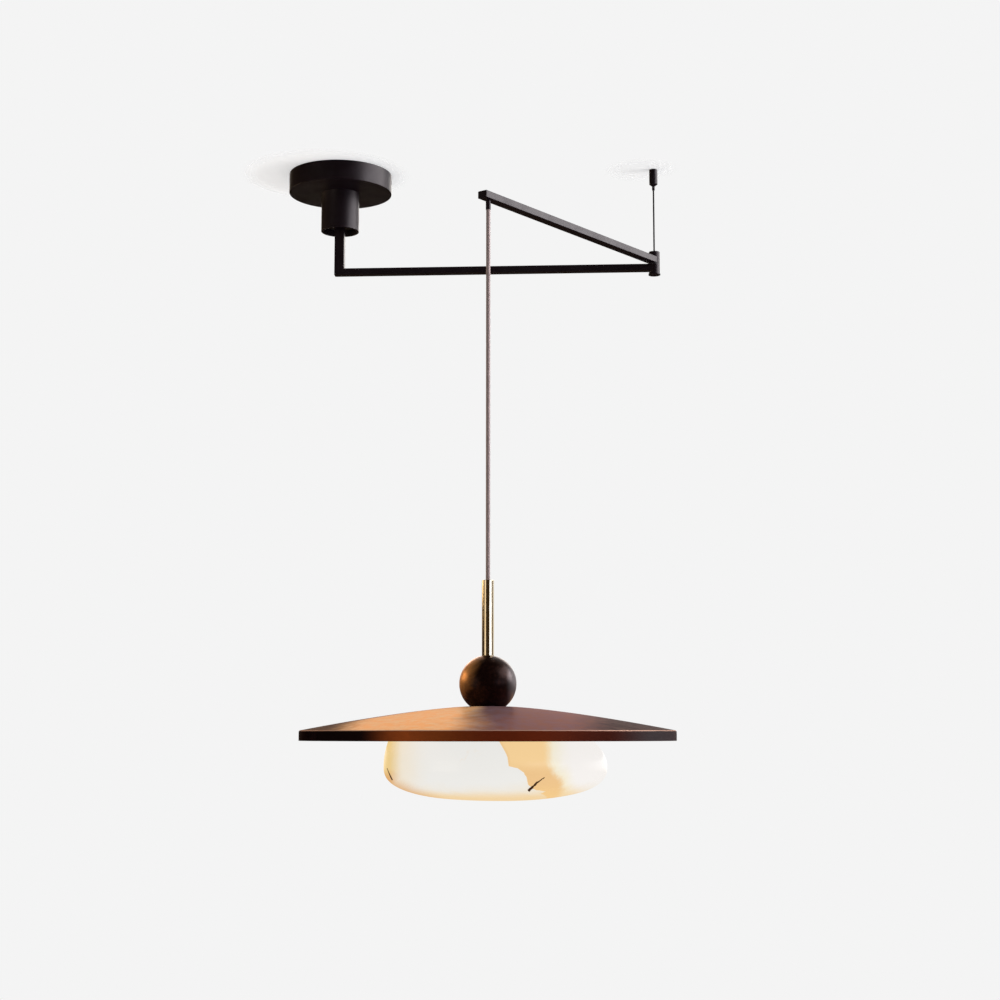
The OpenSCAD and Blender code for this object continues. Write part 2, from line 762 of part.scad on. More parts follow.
module upper_barrel() {
    color(black_paint) on_upper_arm() difference() {
        up_from(upper_barrel_bottom) cylinder(r = barrel_r, h = upper_barrel_top - upper_barrel_bottom);
        up_from(upper_barrel_bottom - 1)
            cylinder(r = barrel_in_r, h = roof_bottom - upper_barrel_bottom + 1);
        up_from(roof_bottom - 1) cylinder(r = pin_r + fit_gap + elbow_bush_wall, h = roof_t + 2);
        up_from(roof_bottom + roof_t) cylinder(r = elbow_nut_r + 0.7, h = nut_pocket_h + 1);
        translate([1, -arm_in_w / 2 + 0.5, upper_arm_z - arm_in_h / 2])
            cube([barrel_r, arm_in_w - 1, arm_in_h]);
    }
}

module elbow_bush() {
    color(brass) on_upper_arm() difference() {
        union() {
            up_from(roof_bottom) cylinder(r = pin_r + fit_gap + elbow_bush_wall, h = roof_t);
            up_from(roof_bottom - bush_ring_t) cylinder(r = barrel_in_r - 0.9, h = bush_ring_t);
        }
        up_from(roof_bottom - bush_ring_t - 1) cylinder(r = pin_r + fit_gap, h = 20);
    }
}

module upper_arm_tube() {
    color(black_paint) on_upper_arm() difference() {
        bar_x(0, upper_arm_tip - plug_t, arm_w, arm_h, arm_edge_r, upper_arm_z);
        bar_x(-1, upper_arm_tip, arm_in_w, arm_in_h, arm_in_r, upper_arm_z);
        up_from(upper_barrel_bottom - 10) cylinder(r = barrel_r, h = 40);
        translate([upper_arm_l, 0, arm_under - 1]) cylinder(r = gland_r + fit_gap, h = arm_wall + 2);
    }
}

module upper_arm_lead() {
    // Round the pin from where the lower lead comes up, to the upper arm's own direction
    start = 180 - upper_arm_turn;
    function around(k, z) = let (a = start + (360 - start) * k)
        [lead_orbit * cos(a), lead_orbit * sin(a), z];
    route = concat(
        [around(0, barrel_split + run_gap / 2), around(0, barrel_split + 1),
         around(0.1, barrel_split + 2), around(0.4, upper_arm_z - 1.4), around(0.86, upper_arm_z - 0.4)],
        stepped([8, 0, upper_arm_z], [upper_arm_l - clamp_d / 2, 0, upper_arm_z], 9));
    color(lead_white) on_upper_arm() swept(route, lead_d, 8);
}

module arm_end_plug() {
    color(black_paint) on_upper_arm() {
        bar_x(upper_arm_tip - plug_t, upper_arm_tip, arm_w, arm_h, arm_edge_r, upper_arm_z);
        bar_x(upper_arm_tip - plug_t - 3, upper_arm_tip - plug_t, arm_in_w - 0.2, arm_in_h - 0.2,
              arm_in_r, upper_arm_z);
    }
}

module cord_gland() {
    color(black_paint) on_upper_arm() translate([upper_arm_l, 0, 0]) difference() {
        union() {
            up_from(gland_mouth) cylinder(r = gland_r, h = arm_floor - gland_mouth);
            up_from(arm_floor) cylinder(r = clamp_d / 2, h = gland_flange_t);
        }
        up_from(gland_mouth - 1) cylinder(r = gland_bore_r, h = 20);
    }
}

module cord_clamp() {
    color(steel) on_upper_arm() translate([upper_arm_l, 0, clamp_bottom]) difference() {
        cylinder(d = clamp_d, h = clamp_h);
        up_from(-1) cylinder(r = gland_bore_r, h = clamp_h + 2);
        translate([0, 0, clamp_h / 2]) rotate([0, 90, 0])
            cylinder(r = clamp_screw_d / 2 + fit_gap, h = clamp_d);
    }
}

module clamp_screw() {
    color(steel) on_upper_arm()
        translate([upper_arm_l + gland_bore_r, 0, clamp_bottom + clamp_h / 2]) rotate([0, 90, 0])
            difference() {
                cylinder(d = clamp_screw_d, h = 3);
                up_from(1.8) hex(1.3, 2);
            }
}

module cord_head() {
    color(cord_grey) on_lamp() up_from(gland_mouth) cylinder(d = cord_d, h = head_top - gland_mouth);
}

// ---- lamp ----

module pendant_cord() {
    color(cord_grey) on_lamp() up_from(gland_mouth) swept(finer(cord_route, 2.5 * cord_d), cord_d, 12);
}

module cord_tail() {
    color(cord_grey) on_lamp() up_from(stem_top - tail_l) cylinder(d = cord_d, h = tail_l);
}

module stem_bush() {
    color(brass) on_lamp() up_from(stem_top - stem_bush_h)
        ring(stem_d / 2 - stem_wall - fit_gap, cord_d / 2 + fit_gap, stem_bush_h);
}

module stem_tube() {
    color(brass) on_lamp() up_from(stem_bottom) ring(stem_d / 2, stem_d / 2 - stem_wall, stem_l);
}

module cord_anchor() {
    color(steel) on_lamp() difference() {
        up_from(anchor_top - anchor_h) cylinder(d = anchor_d, h = anchor_h);
        up_from(anchor_top - anchor_h - 1) cylinder(r = cord_d / 2 + fit_gap, h = anchor_h + 2);
        up_from(anchor_top - anchor_h - 1) cylinder(r = rod_d / 2 + fit_gap, h = 11);
    }
}

module threaded_rod() {
    color(steel) on_lamp() up_from(rod_bottom) ring(rod_d / 2, rod_bore_d / 2, rod_top - rod_bottom);
}

module ball() {
    color(dark_bronze) on_lamp() difference() {
        up_from(ball_z) sphere(r = ball_r_out, $fn = 96);
        up_from(stem_bottom) cylinder(r = ball_r_out, h = ball_r_out);
        up_from(shade_top - ball_r_out) cylinder(r = ball_r_out, h = ball_r_out);
        up_from(shade_top - 1) cylinder(r = rod_hole_r, h = ball_d);
    }
}

// Outline of the shade's metal, from the hole out over the crown, round the rim and back inside
function rim_arc(r0, z0, r) = [for (a = [70 : -17.5 : 0]) [r0 + r * cos(a), z0 + r * sin(a)]];
module shade() {
    steps = [for (i = [0 : crown_steps]) seat_r + (crown_edge_r - seat_r) * i / crown_steps];
    last = crown_steps;
    outer = concat([[rod_hole_r, shade_top]],
                   [for (r = steps) [r, shade_top - crown_drop(r)]],
                   rim_arc(crown_edge_r, rim_top - rim_edge_r, rim_edge_r),
                   [[shade_r, rim_bottom]]);
    inner = concat([[shade_r - shade_t, rim_bottom],
                    [shade_r - shade_t, rim_top - rim_edge_r - shade_t / 4]],
                   [for (i = [last : -1 : 0])
                       [steps[i] - (i == last ? shade_t / 4 : 0),
                        shade_top - shade_t - crown_drop(steps[i])]],
                   [[rod_hole_r, shade_top - shade_t]]);
    color(bronze) on_lamp() rotate_extrude($fn = 120) polygon(concat(outer, inner));
}

module hub_spacer() {
    color(steel) on_lamp() up_from(back_plate_top)
        ring(hub_d / 2, rod_hole_r, shade_top - shade_t - back_plate_top);
}

module back_plate() {
    color(dark_bronze) on_lamp() difference() {
        up_from(back_plate_bottom) cylinder(r = back_plate_r, h = back_plate_t);
        up_from(back_plate_bottom - 1) cylinder(r = rod_hole_r, h = back_plate_t + 2);
        for (i = [0 : carrier_screw_count - 1])
            rotate(30 + i * 360 / carrier_screw_count)
                translate([carrier_screw_r, 0, back_plate_bottom - 1])
                    cylinder(r = carrier_screw_d / 2 + pass_gap, h = back_plate_t + 2);
    }
}

module rod_washer() {
    color(steel) on_lamp() up_from(back_plate_bottom - rod_washer_t)
        ring(rod_washer_d / 2, rod_hole_r, rod_washer_t);
}

module rod_nut() {
    color(steel) on_lamp() up_from(back_plate_bottom - rod_washer_t - rod_nut_h) difference() {
        hex(rod_nut_flats, rod_nut_h);
        up_from(-1) cylinder(r = rod_d / 2 + fit_gap, h = rod_nut_h + 2);
    }
}

module heat_spreader() {
    color(steel) on_lamp() up_from(spreader_bottom) ring(spreader_d / 2, spreader_in_d / 2, spreader_t);
}

module led_board() {
    color(board_green) on_lamp() up_from(board_bottom) ring(board_d / 2, board_in_d / 2, board_t);
}

module chip_row(count, r) {
    for (i = [0 : count - 1])
        rotate(i * 360 / count) translate([r, 0, board_bottom - chip_h / 2])
            cube([chip_size, chip_size, chip_h], center = true);
}

module led_chips() {
    color("gold") on_lamp() {
        chip_row(chip_count, chip_ring_r);
        chip_row(chip_count / 2, chip_inner_r);
    }
}

module led_lead() {
    r = (spreader_in_d + board_in_d) / 4 + 4;
    route = [[0, 0, rod_bottom + 6], [0, 0, rod_bottom], [0.8, 0, rod_bottom - 3.4],
             [3.4, 0, rod_bottom - 6], [8, 0, rod_bottom - 6.6], [13, 0, rod_bottom - 4.6],
             [16.6, 0, rod_bottom - 0.6], [r, 0, board_bottom - 2.8], [r, 0, board_bottom]];
    color(lead_white) on_lamp() swept(route, lead_d, 8);
}

module carrier_ring() {
    color(steel) on_lamp() difference() {
        up_from(carrier_bottom) ring(carrier_r, carrier_r - carrier_w, carrier_h);
        for (i = [0 : carrier_screw_count - 1])
            rotate(30 + i * 360 / carrier_screw_count)
                translate([carrier_screw_r, 0, carrier_bottom - 1])
                    cylinder(r = carrier_screw_d / 2 + fit_gap, h = carrier_h + 2);
    }
}

module carrier_screws() {
    head_h = 2;
    color(steel) on_lamp()
        for (i = [0 : carrier_screw_count - 1])
            rotate(30 + i * 360 / carrier_screw_count) translate([carrier_screw_r, 0, 0]) {
                up_from(carrier_bottom + 0.5)
                    cylinder(d = carrier_screw_d, h = back_plate_top - carrier_bottom - 0.5);
                up_from(back_plate_top) cylinder(d = carrier_screw_d * 1.8, h = head_h);
            }
}

// One outline of the stone: a level in its own plan, shrunk by k about the stone's middle
function stone_plan(t, k) = [k * stone_a * cos(t), k * (stone_b * sin(t) + stone_skew * cos(2 * t))];
function stone_up_k(t, dz) =
    let (h = (stone_left_h + stone_right_h) / 2 - (stone_left_h - stone_right_h) / 2 * cos(t))
    sqrt(1 - pow(dz / h, 2));
function stone_turned(p, z) = [
    stone_offset * cos(stone_turn) + p[0] * cos(stone_turn) - p[1] * sin(stone_turn),
    stone_offset * sin(stone_turn) + p[0] * sin(stone_turn) + p[1] * cos(stone_turn), z];
function stone_upper(n) = [for (i = [0 : n]) let (dz = stone_top_h * (1 - i / n))
    [for (j = [0 : stone_segments - 1]) let (t = 360 * j / stone_segments)
        stone_turned(stone_plan(t, stone_up_k(t, dz)), stone_mid + dz)]];
function stone_lower(n) = [for (i = [1 : n - 1]) let (w = 90 * i / n)
    [for (j = [0 : stone_segments - 1]) let (t = 360 * j / stone_segments)
        stone_turned(stone_plan(t, pow(cos(w), 2 / stone_power)),
                     stone_mid - stone_low_h * pow(sin(w), 2 / stone_power))]];
function stone_circle(r, z) = [for (j = [0 : stone_segments - 1])
    let (t = 360 * j / stone_segments + stone_turn) [r * cos(t), r * sin(t), z]];

module diffuser() {
    s = stone_segments;
    mouth = [stone_circle(stone_mouth_r, stone_top), stone_circle(stone_mouth_r, carrier_bottom),
             stone_circle(stone_cavity_r, carrier_bottom),
             stone_circle(stone_cavity_r, cavity_bottom + 22),
             stone_circle(stone_cavity_r * 0.94, cavity_bottom + 9),
             stone_circle(stone_cavity_r * 0.8, cavity_bottom + 2),
             stone_circle(stone_cavity_r * 0.62, cavity_bottom)];
    outside = concat(stone_upper(4), stone_lower(9));
    // From the cavity's floor up to the mouth, over the top face and down the outside
    rows = concat([for (i = [len(mouth) - 1 : -1 : 0]) mouth[i]], outside);
    count = len(rows);
    foot = stone_turned([0, 0], stone_bottom);
    points = concat([for (r = rows) each r], [[0, 0, cavity_bottom], foot]);
    inside_pole = count * s;
    outside_pole = count * s + 1;
    faces = concat(
        [for (j = [0 : s - 1]) [inside_pole, (j + 1) % s, j]],
        [for (i = [0 : count - 2], j = [0 : s - 1]) [i * s + j, i * s + (j + 1) % s, (i + 1) * s + j]],
        [for (i = [0 : count - 2], j = [0 : s - 1])
            [i * s + (j + 1) % s, (i + 1) * s + (j + 1) % s, (i + 1) * s + j]],
        [for (j = [0 : s - 1]) [outside_pole, (count - 1) * s + j, (count - 1) * s + (j + 1) % s]]);
    color(stone) on_lamp() polyhedron(points = points, faces = faces);
}

ceiling_plate();
canopy_cover();
cover_screws();
terminal_block();
mains_lead();
led_driver();
supply_lead();
neck_housing();
neck_bolts();
stop_pin();
shoulder_bush();
shoulder_spindle();
stop_ring();
shoulder_washer();
shoulder_nut();
lower_arm_tube();
lower_arm_lead();
lower_barrel();
elbow_pin();
elbow_washer();
elbow_nut();
support_wire();
gripper_body();
gripper_spring();
release_nipple();
gripper_balls();
upper_barrel();
elbow_bush();
upper_arm_tube();
upper_arm_lead();
arm_end_plug();
cord_gland();
cord_clamp();
clamp_screw();
cord_head();
pendant_cord();
cord_tail();
stem_bush();
stem_tube();
cord_anchor();
threaded_rod();
ball();
shade();
hub_spacer();
back_plate();
rod_washer();
rod_nut();
heat_spreader();
led_board();
led_chips();
led_lead();
carrier_ring();
carrier_screws();
diffuser();
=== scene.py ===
import bpy
import bmesh
import json
from math import asin, atan2, cos, pi, radians, sin, sqrt
from mathutils import Matrix, Vector, noise


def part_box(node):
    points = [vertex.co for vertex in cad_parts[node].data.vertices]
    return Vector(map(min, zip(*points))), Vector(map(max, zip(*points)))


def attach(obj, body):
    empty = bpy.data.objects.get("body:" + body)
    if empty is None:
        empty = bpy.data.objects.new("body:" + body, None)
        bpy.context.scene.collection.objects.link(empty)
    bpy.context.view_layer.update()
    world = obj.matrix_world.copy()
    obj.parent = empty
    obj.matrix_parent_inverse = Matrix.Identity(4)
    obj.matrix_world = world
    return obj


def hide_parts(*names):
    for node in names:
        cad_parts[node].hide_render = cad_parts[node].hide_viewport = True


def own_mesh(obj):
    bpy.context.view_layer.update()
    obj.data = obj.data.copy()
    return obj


mm = 0.001
mergeDistance = 0.001 * mm
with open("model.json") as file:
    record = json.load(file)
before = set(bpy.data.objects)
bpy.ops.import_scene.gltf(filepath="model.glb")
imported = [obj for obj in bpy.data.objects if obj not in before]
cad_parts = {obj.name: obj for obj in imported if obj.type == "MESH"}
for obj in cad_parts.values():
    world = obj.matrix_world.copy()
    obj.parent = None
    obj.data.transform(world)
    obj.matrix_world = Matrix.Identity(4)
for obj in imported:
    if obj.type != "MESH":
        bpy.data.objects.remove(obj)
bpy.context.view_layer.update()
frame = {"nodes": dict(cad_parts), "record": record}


def middleOf(node):
    low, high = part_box(node)
    return (Vector(low) + Vector(high)) / 2


def bottomOf(node):
    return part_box(node)[0][2]


def topOf(node):
    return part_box(node)[1][2]


def radiusOf(node):
    low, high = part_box(node)
    return (high[0] - low[0]) / 2


# The axes that the looks are built on, read from the frame
shoulderAxis = middleOf("neck_housing")
elbowAxis = middleOf("gripper_body")
lampAxis = middleOf("threaded_rod")
print("frame loaded")


cameraLook = {
    "place": (0.3322, -2.1893, -0.7070),
    "heading": 3.355,  # degrees to the left of +Y
    "pitch": 7.468,  # degrees up
    "lens": 64.17,
    "sensor": 36,
    "near": 0.05,
}


def addCamera():
    heading = radians(cameraLook["heading"])
    pitch = radians(cameraLook["pitch"])
    view = Vector((-sin(heading) * cos(pitch), cos(heading) * cos(pitch), sin(pitch)))
    data = bpy.data.cameras.new("camera")
    data.lens = cameraLook["lens"]
    data.sensor_width = cameraLook["sensor"]
    data.clip_start = cameraLook["near"]
    camera = bpy.data.objects.new("camera", data)
    camera.location = cameraLook["place"]
    camera.rotation_euler = view.to_track_quat("-Z", "Y").to_euler()
    bpy.context.collection.objects.link(camera)
    bpy.context.scene.camera = camera


addCamera()


def newMaterial(name, base, metallic=0.0, roughness=0.5, specular=0.5, tint=(1, 1, 1)):
    material = bpy.data.materials.new(name)
    material.use_nodes = True
    tree = material.node_tree
    shader = tree.nodes["Principled BSDF"]
    shader.inputs["Base Color"].default_value = (*base, 1)
    shader.inputs["Metallic"].default_value = metallic
    shader.inputs["Roughness"].default_value = roughness
    shader.inputs["Specular IOR Level"].default_value = specular
    shader.inputs["Specular Tint"].default_value = (*tint, 1)
    return material, tree, shader


def place(tree, socket, value):
    if isinstance(value, bpy.types.NodeSocket):
        tree.links.new(value, socket)
    else:
        socket.default_value = value


def newNode(tree, kind, inputs=()):
    # A node with its inputs set or linked, by name or by number
    node = tree.nodes.new("ShaderNode" + kind)
    for name, value in dict(inputs).items():
        place(tree, node.inputs[name], value)
    return node


def objectPoint(tree, centre=(0, 0, 0), turn=0.0):
    # Object coordinates, moved to a centre and turned about Z
    coordinates = newNode(tree, "TexCoord").outputs["Object"]
    mapping = newNode(tree, "Mapping")
    mapping.vector_type = "TEXTURE"
    mapping.inputs["Location"].default_value = centre
    mapping.inputs["Rotation"].default_value = (0, 0, turn)
    tree.links.new(coordinates, mapping.inputs["Vector"])
    return mapping.outputs["Vector"]


def noiseOn(tree, point, scale, detail=3.0, roughness=0.5, distortion=0.0):
    # The scale is in clouds per metre
    return newNode(tree, "TexNoise", {"Vector": point, "Scale": scale, "Detail": detail,
                                      "Roughness": roughness, "Distortion": distortion}).outputs["Fac"]


def mathOf(tree, operation, a, b=0.0):
    node = newNode(tree, "Math", {0: a, 1: b})
    node.operation = operation
    return node.outputs[0]


def plus(tree, a, b):
    return mathOf(tree, "ADD", a, b)


def minus(tree, a, b):
    return mathOf(tree, "SUBTRACT", a, b)


def times(tree, a, b):
    return mathOf(tree, "MULTIPLY", a, b)


def larger(tree, a, b):
    return mathOf(tree, "MAXIMUM", a, b)


def swingOf(tree, cloud, amount):
    # Noise as a shift to both sides, by half the amount at most
    return times(tree, minus(tree, cloud, 0.5), amount)


def rangeOf(tree, value, start, end, low=0.0, high=1.0):
    # low at start, high at end, eased between them
    node = newNode(tree, "MapRange", {"Value": value, "From Min": start, "From Max": end,
                                      "To Min": low, "To Max": high})
    node.interpolation_type = "SMOOTHSTEP"
    return node.outputs["Result"]


def mixOf(tree, factor, a, b):
    node = newNode(tree, "Mix")
    node.data_type = "RGBA"
    place(tree, node.inputs["Factor"], factor)
    place(tree, node.inputs["A"], a if isinstance(a, bpy.types.NodeSocket) else (*a, 1))
    place(tree, node.inputs["B"], b if isinstance(b, bpy.types.NodeSocket) else (*b, 1))
    return node.outputs["Result"]


def partsOf(tree, point):
    return newNode(tree, "SeparateXYZ", {0: point}).outputs[:3]


def colourBy(tree, shader, colour):
    tree.links.new(colour, shader.inputs["Base Color"])


def roughenBy(tree, shader, cloud, roughness, reach=(0.3, 0.7)):
    tree.links.new(rangeOf(tree, cloud, *reach, *roughness), shader.inputs["Roughness"])


def bumpOn(tree, shader, height, strength, depth):
    bump = newNode(tree, "Bump", {"Strength": strength, "Distance": depth, "Height": height})
    tree.links.new(bump.outputs["Normal"], shader.inputs["Normal"])


# In the looks below a noise is its scale, detail, roughness and distortion, a bump is its strength and
# depth, and a fade is where it starts and ends, and its value at both if these aren't 0 and 1
paintLook = {
    "dark": (0.0060, 0.0024, 0.0050),
    "light": (0.0104, 0.0050, 0.0090),
    "roughness": (0.36, 0.44),
    "surface": {"specular": 0.42, "tint": (1.0, 0.94, 1.0)},
    "cloud": (45,),
    "grain": (1500, 2),  # the powder coat
    "bump": (0.25, 0.012 * mm),
}


def blackPaint():
    look = paintLook
    material, tree, shader = newMaterial("blackPaint", look["dark"], **look["surface"])
    point = objectPoint(tree)
    cloud = noiseOn(tree, point, *look["cloud"])
    colourBy(tree, shader, mixOf(tree, cloud, look["dark"], look["light"]))
    roughenBy(tree, shader, cloud, look["roughness"])
    bumpOn(tree, shader, noiseOn(tree, point, *look["grain"]), *look["bump"])
    return material


brassLook = {
    "light": (0.94, 0.83, 0.62),
    "dark": (0.88, 0.73, 0.48),
    "roughness": (0.11, 0.15),
    "cloud": (38, 4),
    "darkening": (0.40, 0.72),
}


def polishedBrass():
    look = brassLook
    material, tree, shader = newMaterial("polishedBrass", look["light"], metallic=1.0)
    cloud = noiseOn(tree, objectPoint(tree), *look["cloud"])
    darkening = rangeOf(tree, cloud, *look["darkening"])
    colourBy(tree, shader, mixOf(tree, darkening, look["light"], look["dark"]))
    roughenBy(tree, shader, cloud, look["roughness"])
    return material


shadeSize = {
    "radius": 200 * mm,
    "rim": 10.7 * mm,
    "hole": 4.3 * mm,
    "seat": 22 * mm,
    "rise": 25.4 * mm,  # crown above the rim band
    "power": 1.35,
    "edge": 1.5 * mm,
    "lip": 0.4 * mm,
    "metal": 1.2 * mm,
    "steps": 40,
    "turns": 192,
}

shadeLook = {
    # Painted highlight: the copper tones are reflection fans painted onto the crown and the rim
    "copperHighlight": (1.0, 0.52, 0.22),
    "paleCopperHighlight": (1.0, 0.66, 0.39),
    "brown": (0.222, 0.115, 0.108),
    "mauve": (0.240, 0.155, 0.180),
    "surface": {"metallic": 0.42, "roughness": 0.42, "specular": 0.0, "tint": (0.42, 0.28, 0.22)},
    "roughness": (0.36, 0.48),
    "roughnessReach": (0.3, 0.75),
    "broad": (11, 4, 0.55, 0.6),
    "fine": (95, 6, 0.62, 0.3),
    "mottle": (0.35, 0.68),
    "highlightFrom": (14, 30),  # degrees round each half turn, where the painted highlight fans come in
    "bloomTo": (74, 96, 1, 0),
    "highlightSwing": 22,
    "shadedEnds": [((-112 * mm, -156 * mm), (0.060, 0.046, 0.030)),  # painted shade, olive towards the left end
             ((84 * mm, 142 * mm), (0.048, 0.056, 0.068))],  # painted shade, slate towards the right end
    "endSwing": 30 * mm,
    # The rim's dark tone is painted shade on its upright face
    "rim": (0.195, 0.031, 0.010),
    "rimCopperHighlight": (0.310, 0.070, 0.016),
    # Painted shade towards both ends of the rim, greyer at the right end as a painted reflection
    "rimShadedEnds": [((-66 * mm, -116 * mm), (0.012, 0.006, 0.006)),
                ((40 * mm, 130 * mm), (0.060, 0.014, 0.009)),
                ((125 * mm, 176 * mm), (0.058, 0.049, 0.052))],
    "shadedRimBand": (-0.75 * mm, -0.5 * mm),  # from the top of the rim
    # Painted highlight: a light line along the rim's rounded top edge
    "edgeHighlight": (-0.2 * mm, 0.5 * mm),
    "edgeHighlightTone": (0.80, 0.50, 0.38),
    "edgeHighlightShare": 0.7,
    "inside": (0.110, 0.058, 0.044),
    "insidePale": (0.160, 0.090, 0.070),
    "insideFrom": (-0.25, -0.55),  # how far a face looks down
    "ringStep": 1.6 * mm,  # spinning marks
    "ringRagged": 1.2,
    "ringBump": (0.25, 0.01 * mm),
}


def paintHighlightFans(tree, point, look, cloud):
    # Painted highlight: two opposite fans about the lamp's axis, like the reflection on spun metal: 0
    # outside, 1 inside
    x, y, z = partsOf(tree, point)
    angle = times(tree, mathOf(tree, "ARCTAN2", y, x), 180 / pi)
    angle = plus(tree, angle, swingOf(tree, cloud, look["highlightSwing"]))
    angle = mathOf(tree, "MODULO", plus(tree, angle, 720), 180)
    return times(tree, rangeOf(tree, angle, *look["highlightFrom"]), rangeOf(tree, angle, *look["bloomTo"]))


def shadePatina():
    look = shadeLook
    material, tree, shader = newMaterial("shadePatina", look["brown"], **look["surface"])
    point = objectPoint(tree, centre=lampAxis)
    broad, fine = noiseOn(tree, point, *look["broad"]), noiseOn(tree, point, *look["fine"])
    # The copper fans are a painted highlight over the mottled brown
    bloom = paintHighlightFans(tree, point, look, broad)
    mottle = rangeOf(tree, fine, *look["mottle"])
    copperHighlight = mixOf(tree, mottle, look["copperHighlight"], look["paleCopperHighlight"])
    brown = mixOf(tree, mottle, look["brown"], look["mauve"])
    face = mixOf(tree, bloom, brown, copperHighlight)
    x, y, height = partsOf(tree, point)
    # Painted shade darkens both ends of the crown
    across = plus(tree, x, swingOf(tree, fine, look["endSwing"]))
    for reach, tone in look["shadedEnds"]:
        face = mixOf(tree, rangeOf(tree, across, *reach), face, tone)
    # The rim band is painted darker, as shade on its upright face, with a painted highlight line on its
    # rounded top edge
    rimLine = bottomOf("shade") + shadeSize["rim"] - lampAxis.z
    shadedBand, edgeHighlight = [rangeOf(tree, height, rimLine + low, rimLine + high, 1, 0)
                  for low, high in (look["shadedRimBand"], look["edgeHighlight"])]
    rim = mixOf(tree, bloom, look["rim"], look["rimCopperHighlight"])
    for reach, tone in look["rimShadedEnds"]:
        rim = mixOf(tree, rangeOf(tree, x, *reach), rim, tone)
    face = mixOf(tree, times(tree, edgeHighlight, look["edgeHighlightShare"]), face, look["edgeHighlightTone"])
    face = mixOf(tree, shadedBand, face, rim)
    facing = newNode(tree, "TexCoord").outputs["Normal"]
    under = rangeOf(tree, partsOf(tree, facing)[2], *look["insideFrom"])
    inside = mixOf(tree, mottle, look["inside"], look["insidePale"])
    colourBy(tree, shader, mixOf(tree, under, face, inside))
    roughenBy(tree, shader, fine, look["roughness"], look["roughnessReach"])
    scale = 1 / (look["ringStep"] * 20 / (2 * pi))
    rings = newNode(tree, "TexWave", {"Vector": point, "Scale": scale, "Detail": 2,
                                      "Distortion": look["ringRagged"]})
    rings.wave_type = "RINGS"
    rings.rings_direction = "Z"
    bumpOn(tree, shader, rings.outputs["Fac"], *look["ringBump"])
    return material


ballLook = {
    "espresso": (0.012, 0.0035, 0.0028),
    "brown": (0.030, 0.009, 0.006),
    "glow": (0.98, 0.44, 0.145),  # painted warm reflection, on the left and above
    "paintedSheen": (0.19, 0.17, 0.178),  # painted grey reflection at the right edge
    "surface": {"metallic": 0.55, "roughness": 0.30, "specular": 0.25, "tint": (0.80, 0.72, 0.70)},
    "roughness": (0.28, 0.36),
    "broad": (60, 5, 0.6, 0.8),
    "fine": (260, 5, 0.6),
    "mottle": (0.45, 0.75),
    "reflectionLean": 0.45,  # how much higher up counts as further left
    "reflectionSwing": 14 * mm,
    "reflectionFrom": (10 * mm, 32 * mm),
    "sheenFrom": (20 * mm, 30 * mm),
}


def ballPatina():
    look = ballLook
    material, tree, shader = newMaterial("ballPatina", look["espresso"], **look["surface"])
    point = objectPoint(tree, centre=middleOf("ball"))
    broad, fine = noiseOn(tree, point, *look["broad"]), noiseOn(tree, point, *look["fine"])
    x, y, z = partsOf(tree, point)
    # Painted reflections: warm on the left and above, grey at the right edge
    side = minus(tree, times(tree, z, look["reflectionLean"]), x)
    paintedWarmReflection = rangeOf(tree, plus(tree, side, swingOf(tree, broad, look["reflectionSwing"])), *look["reflectionFrom"])
    dark = mixOf(tree, rangeOf(tree, fine, *look["mottle"]), look["espresso"], look["brown"])
    dark = mixOf(tree, rangeOf(tree, x, *look["sheenFrom"]), dark, look["paintedSheen"])
    colourBy(tree, shader, mixOf(tree, paintedWarmReflection, dark, look["glow"]))
    roughenBy(tree, shader, fine, look["roughness"])
    return material


stoneLook = {
    "white": (0.80, 0.79, 0.76),
    "cream": (0.84, 0.71, 0.50),
    "honey": (0.85, 0.62, 0.34),
    "amber": (0.87, 0.58, 0.26),
    "deepAmber": (0.80, 0.49, 0.205),
    "endAmber": (0.78, 0.57, 0.25),
    "burnt": (0.70, 0.37, 0.14),
    "halo": (0.86, 0.78, 0.56),
    # Painted light: the paler tone on the right side
    "pale": (0.86, 0.83, 0.805),
    "brown": (0.040, 0.013, 0.004),
    "surface": {"roughness": 0.25, "specular": 0.35},
    "bump": (0.05, 0.1 * mm),
    "glow": 1.005,
    "body": 0.10,  # how much of the colour the lamps see, beside the glow
    "turn": 3.4,  # degrees, the stone's own turn about the lamp's axis
    "broad": (9, 5, 0.6, 1.2),
    "fine": (70, 6, 0.6, 0.5),
    "grit": (330, 4, 0.6, 0.4),
    "drift": 30 * mm,  # how far the broad noise moves an edge
    "ripple": 5 * mm,  # how far the fine noise does
    "underDrift": 0.3,  # the drift's share on the underside
    "softShare": 0.8,
    "amberLean": 0.42,  # how much further left counts as lower
    "patchEdge": [(0, 11.5), (-10, 17.3), (-16.5, 20), (-24.8, 21), (-26.8, 30), (-31, 36), (-36, 39),
                  (-43, 40.5), (-48.7, 47), (-50.5, 58), (-53, 54), (-56, 60), (-62, 62)],
    "patchWidest": 64,  # the edge is in millimetres: height under the shade's rim, then across
    "edgeRipple": 0.3,
    "patchGrit": 8 * mm,
    "patchShare": 0.88,
    "veins": (13, 6, 0.6, 2.4),
    "veinShare": 0.25,
    "cracks": [((41.4, -49.9), (50.5, -40.6), 1.3, 0.9), ((47.5, -43), (57.6, -36.0), 0.8, 0.4),
               ((-104.8, -28.0), (-98.8, -40.4), 0.35, 0.8)],  # start, end and half widths, in millimetres
    "crackRagged": 2.4,
}

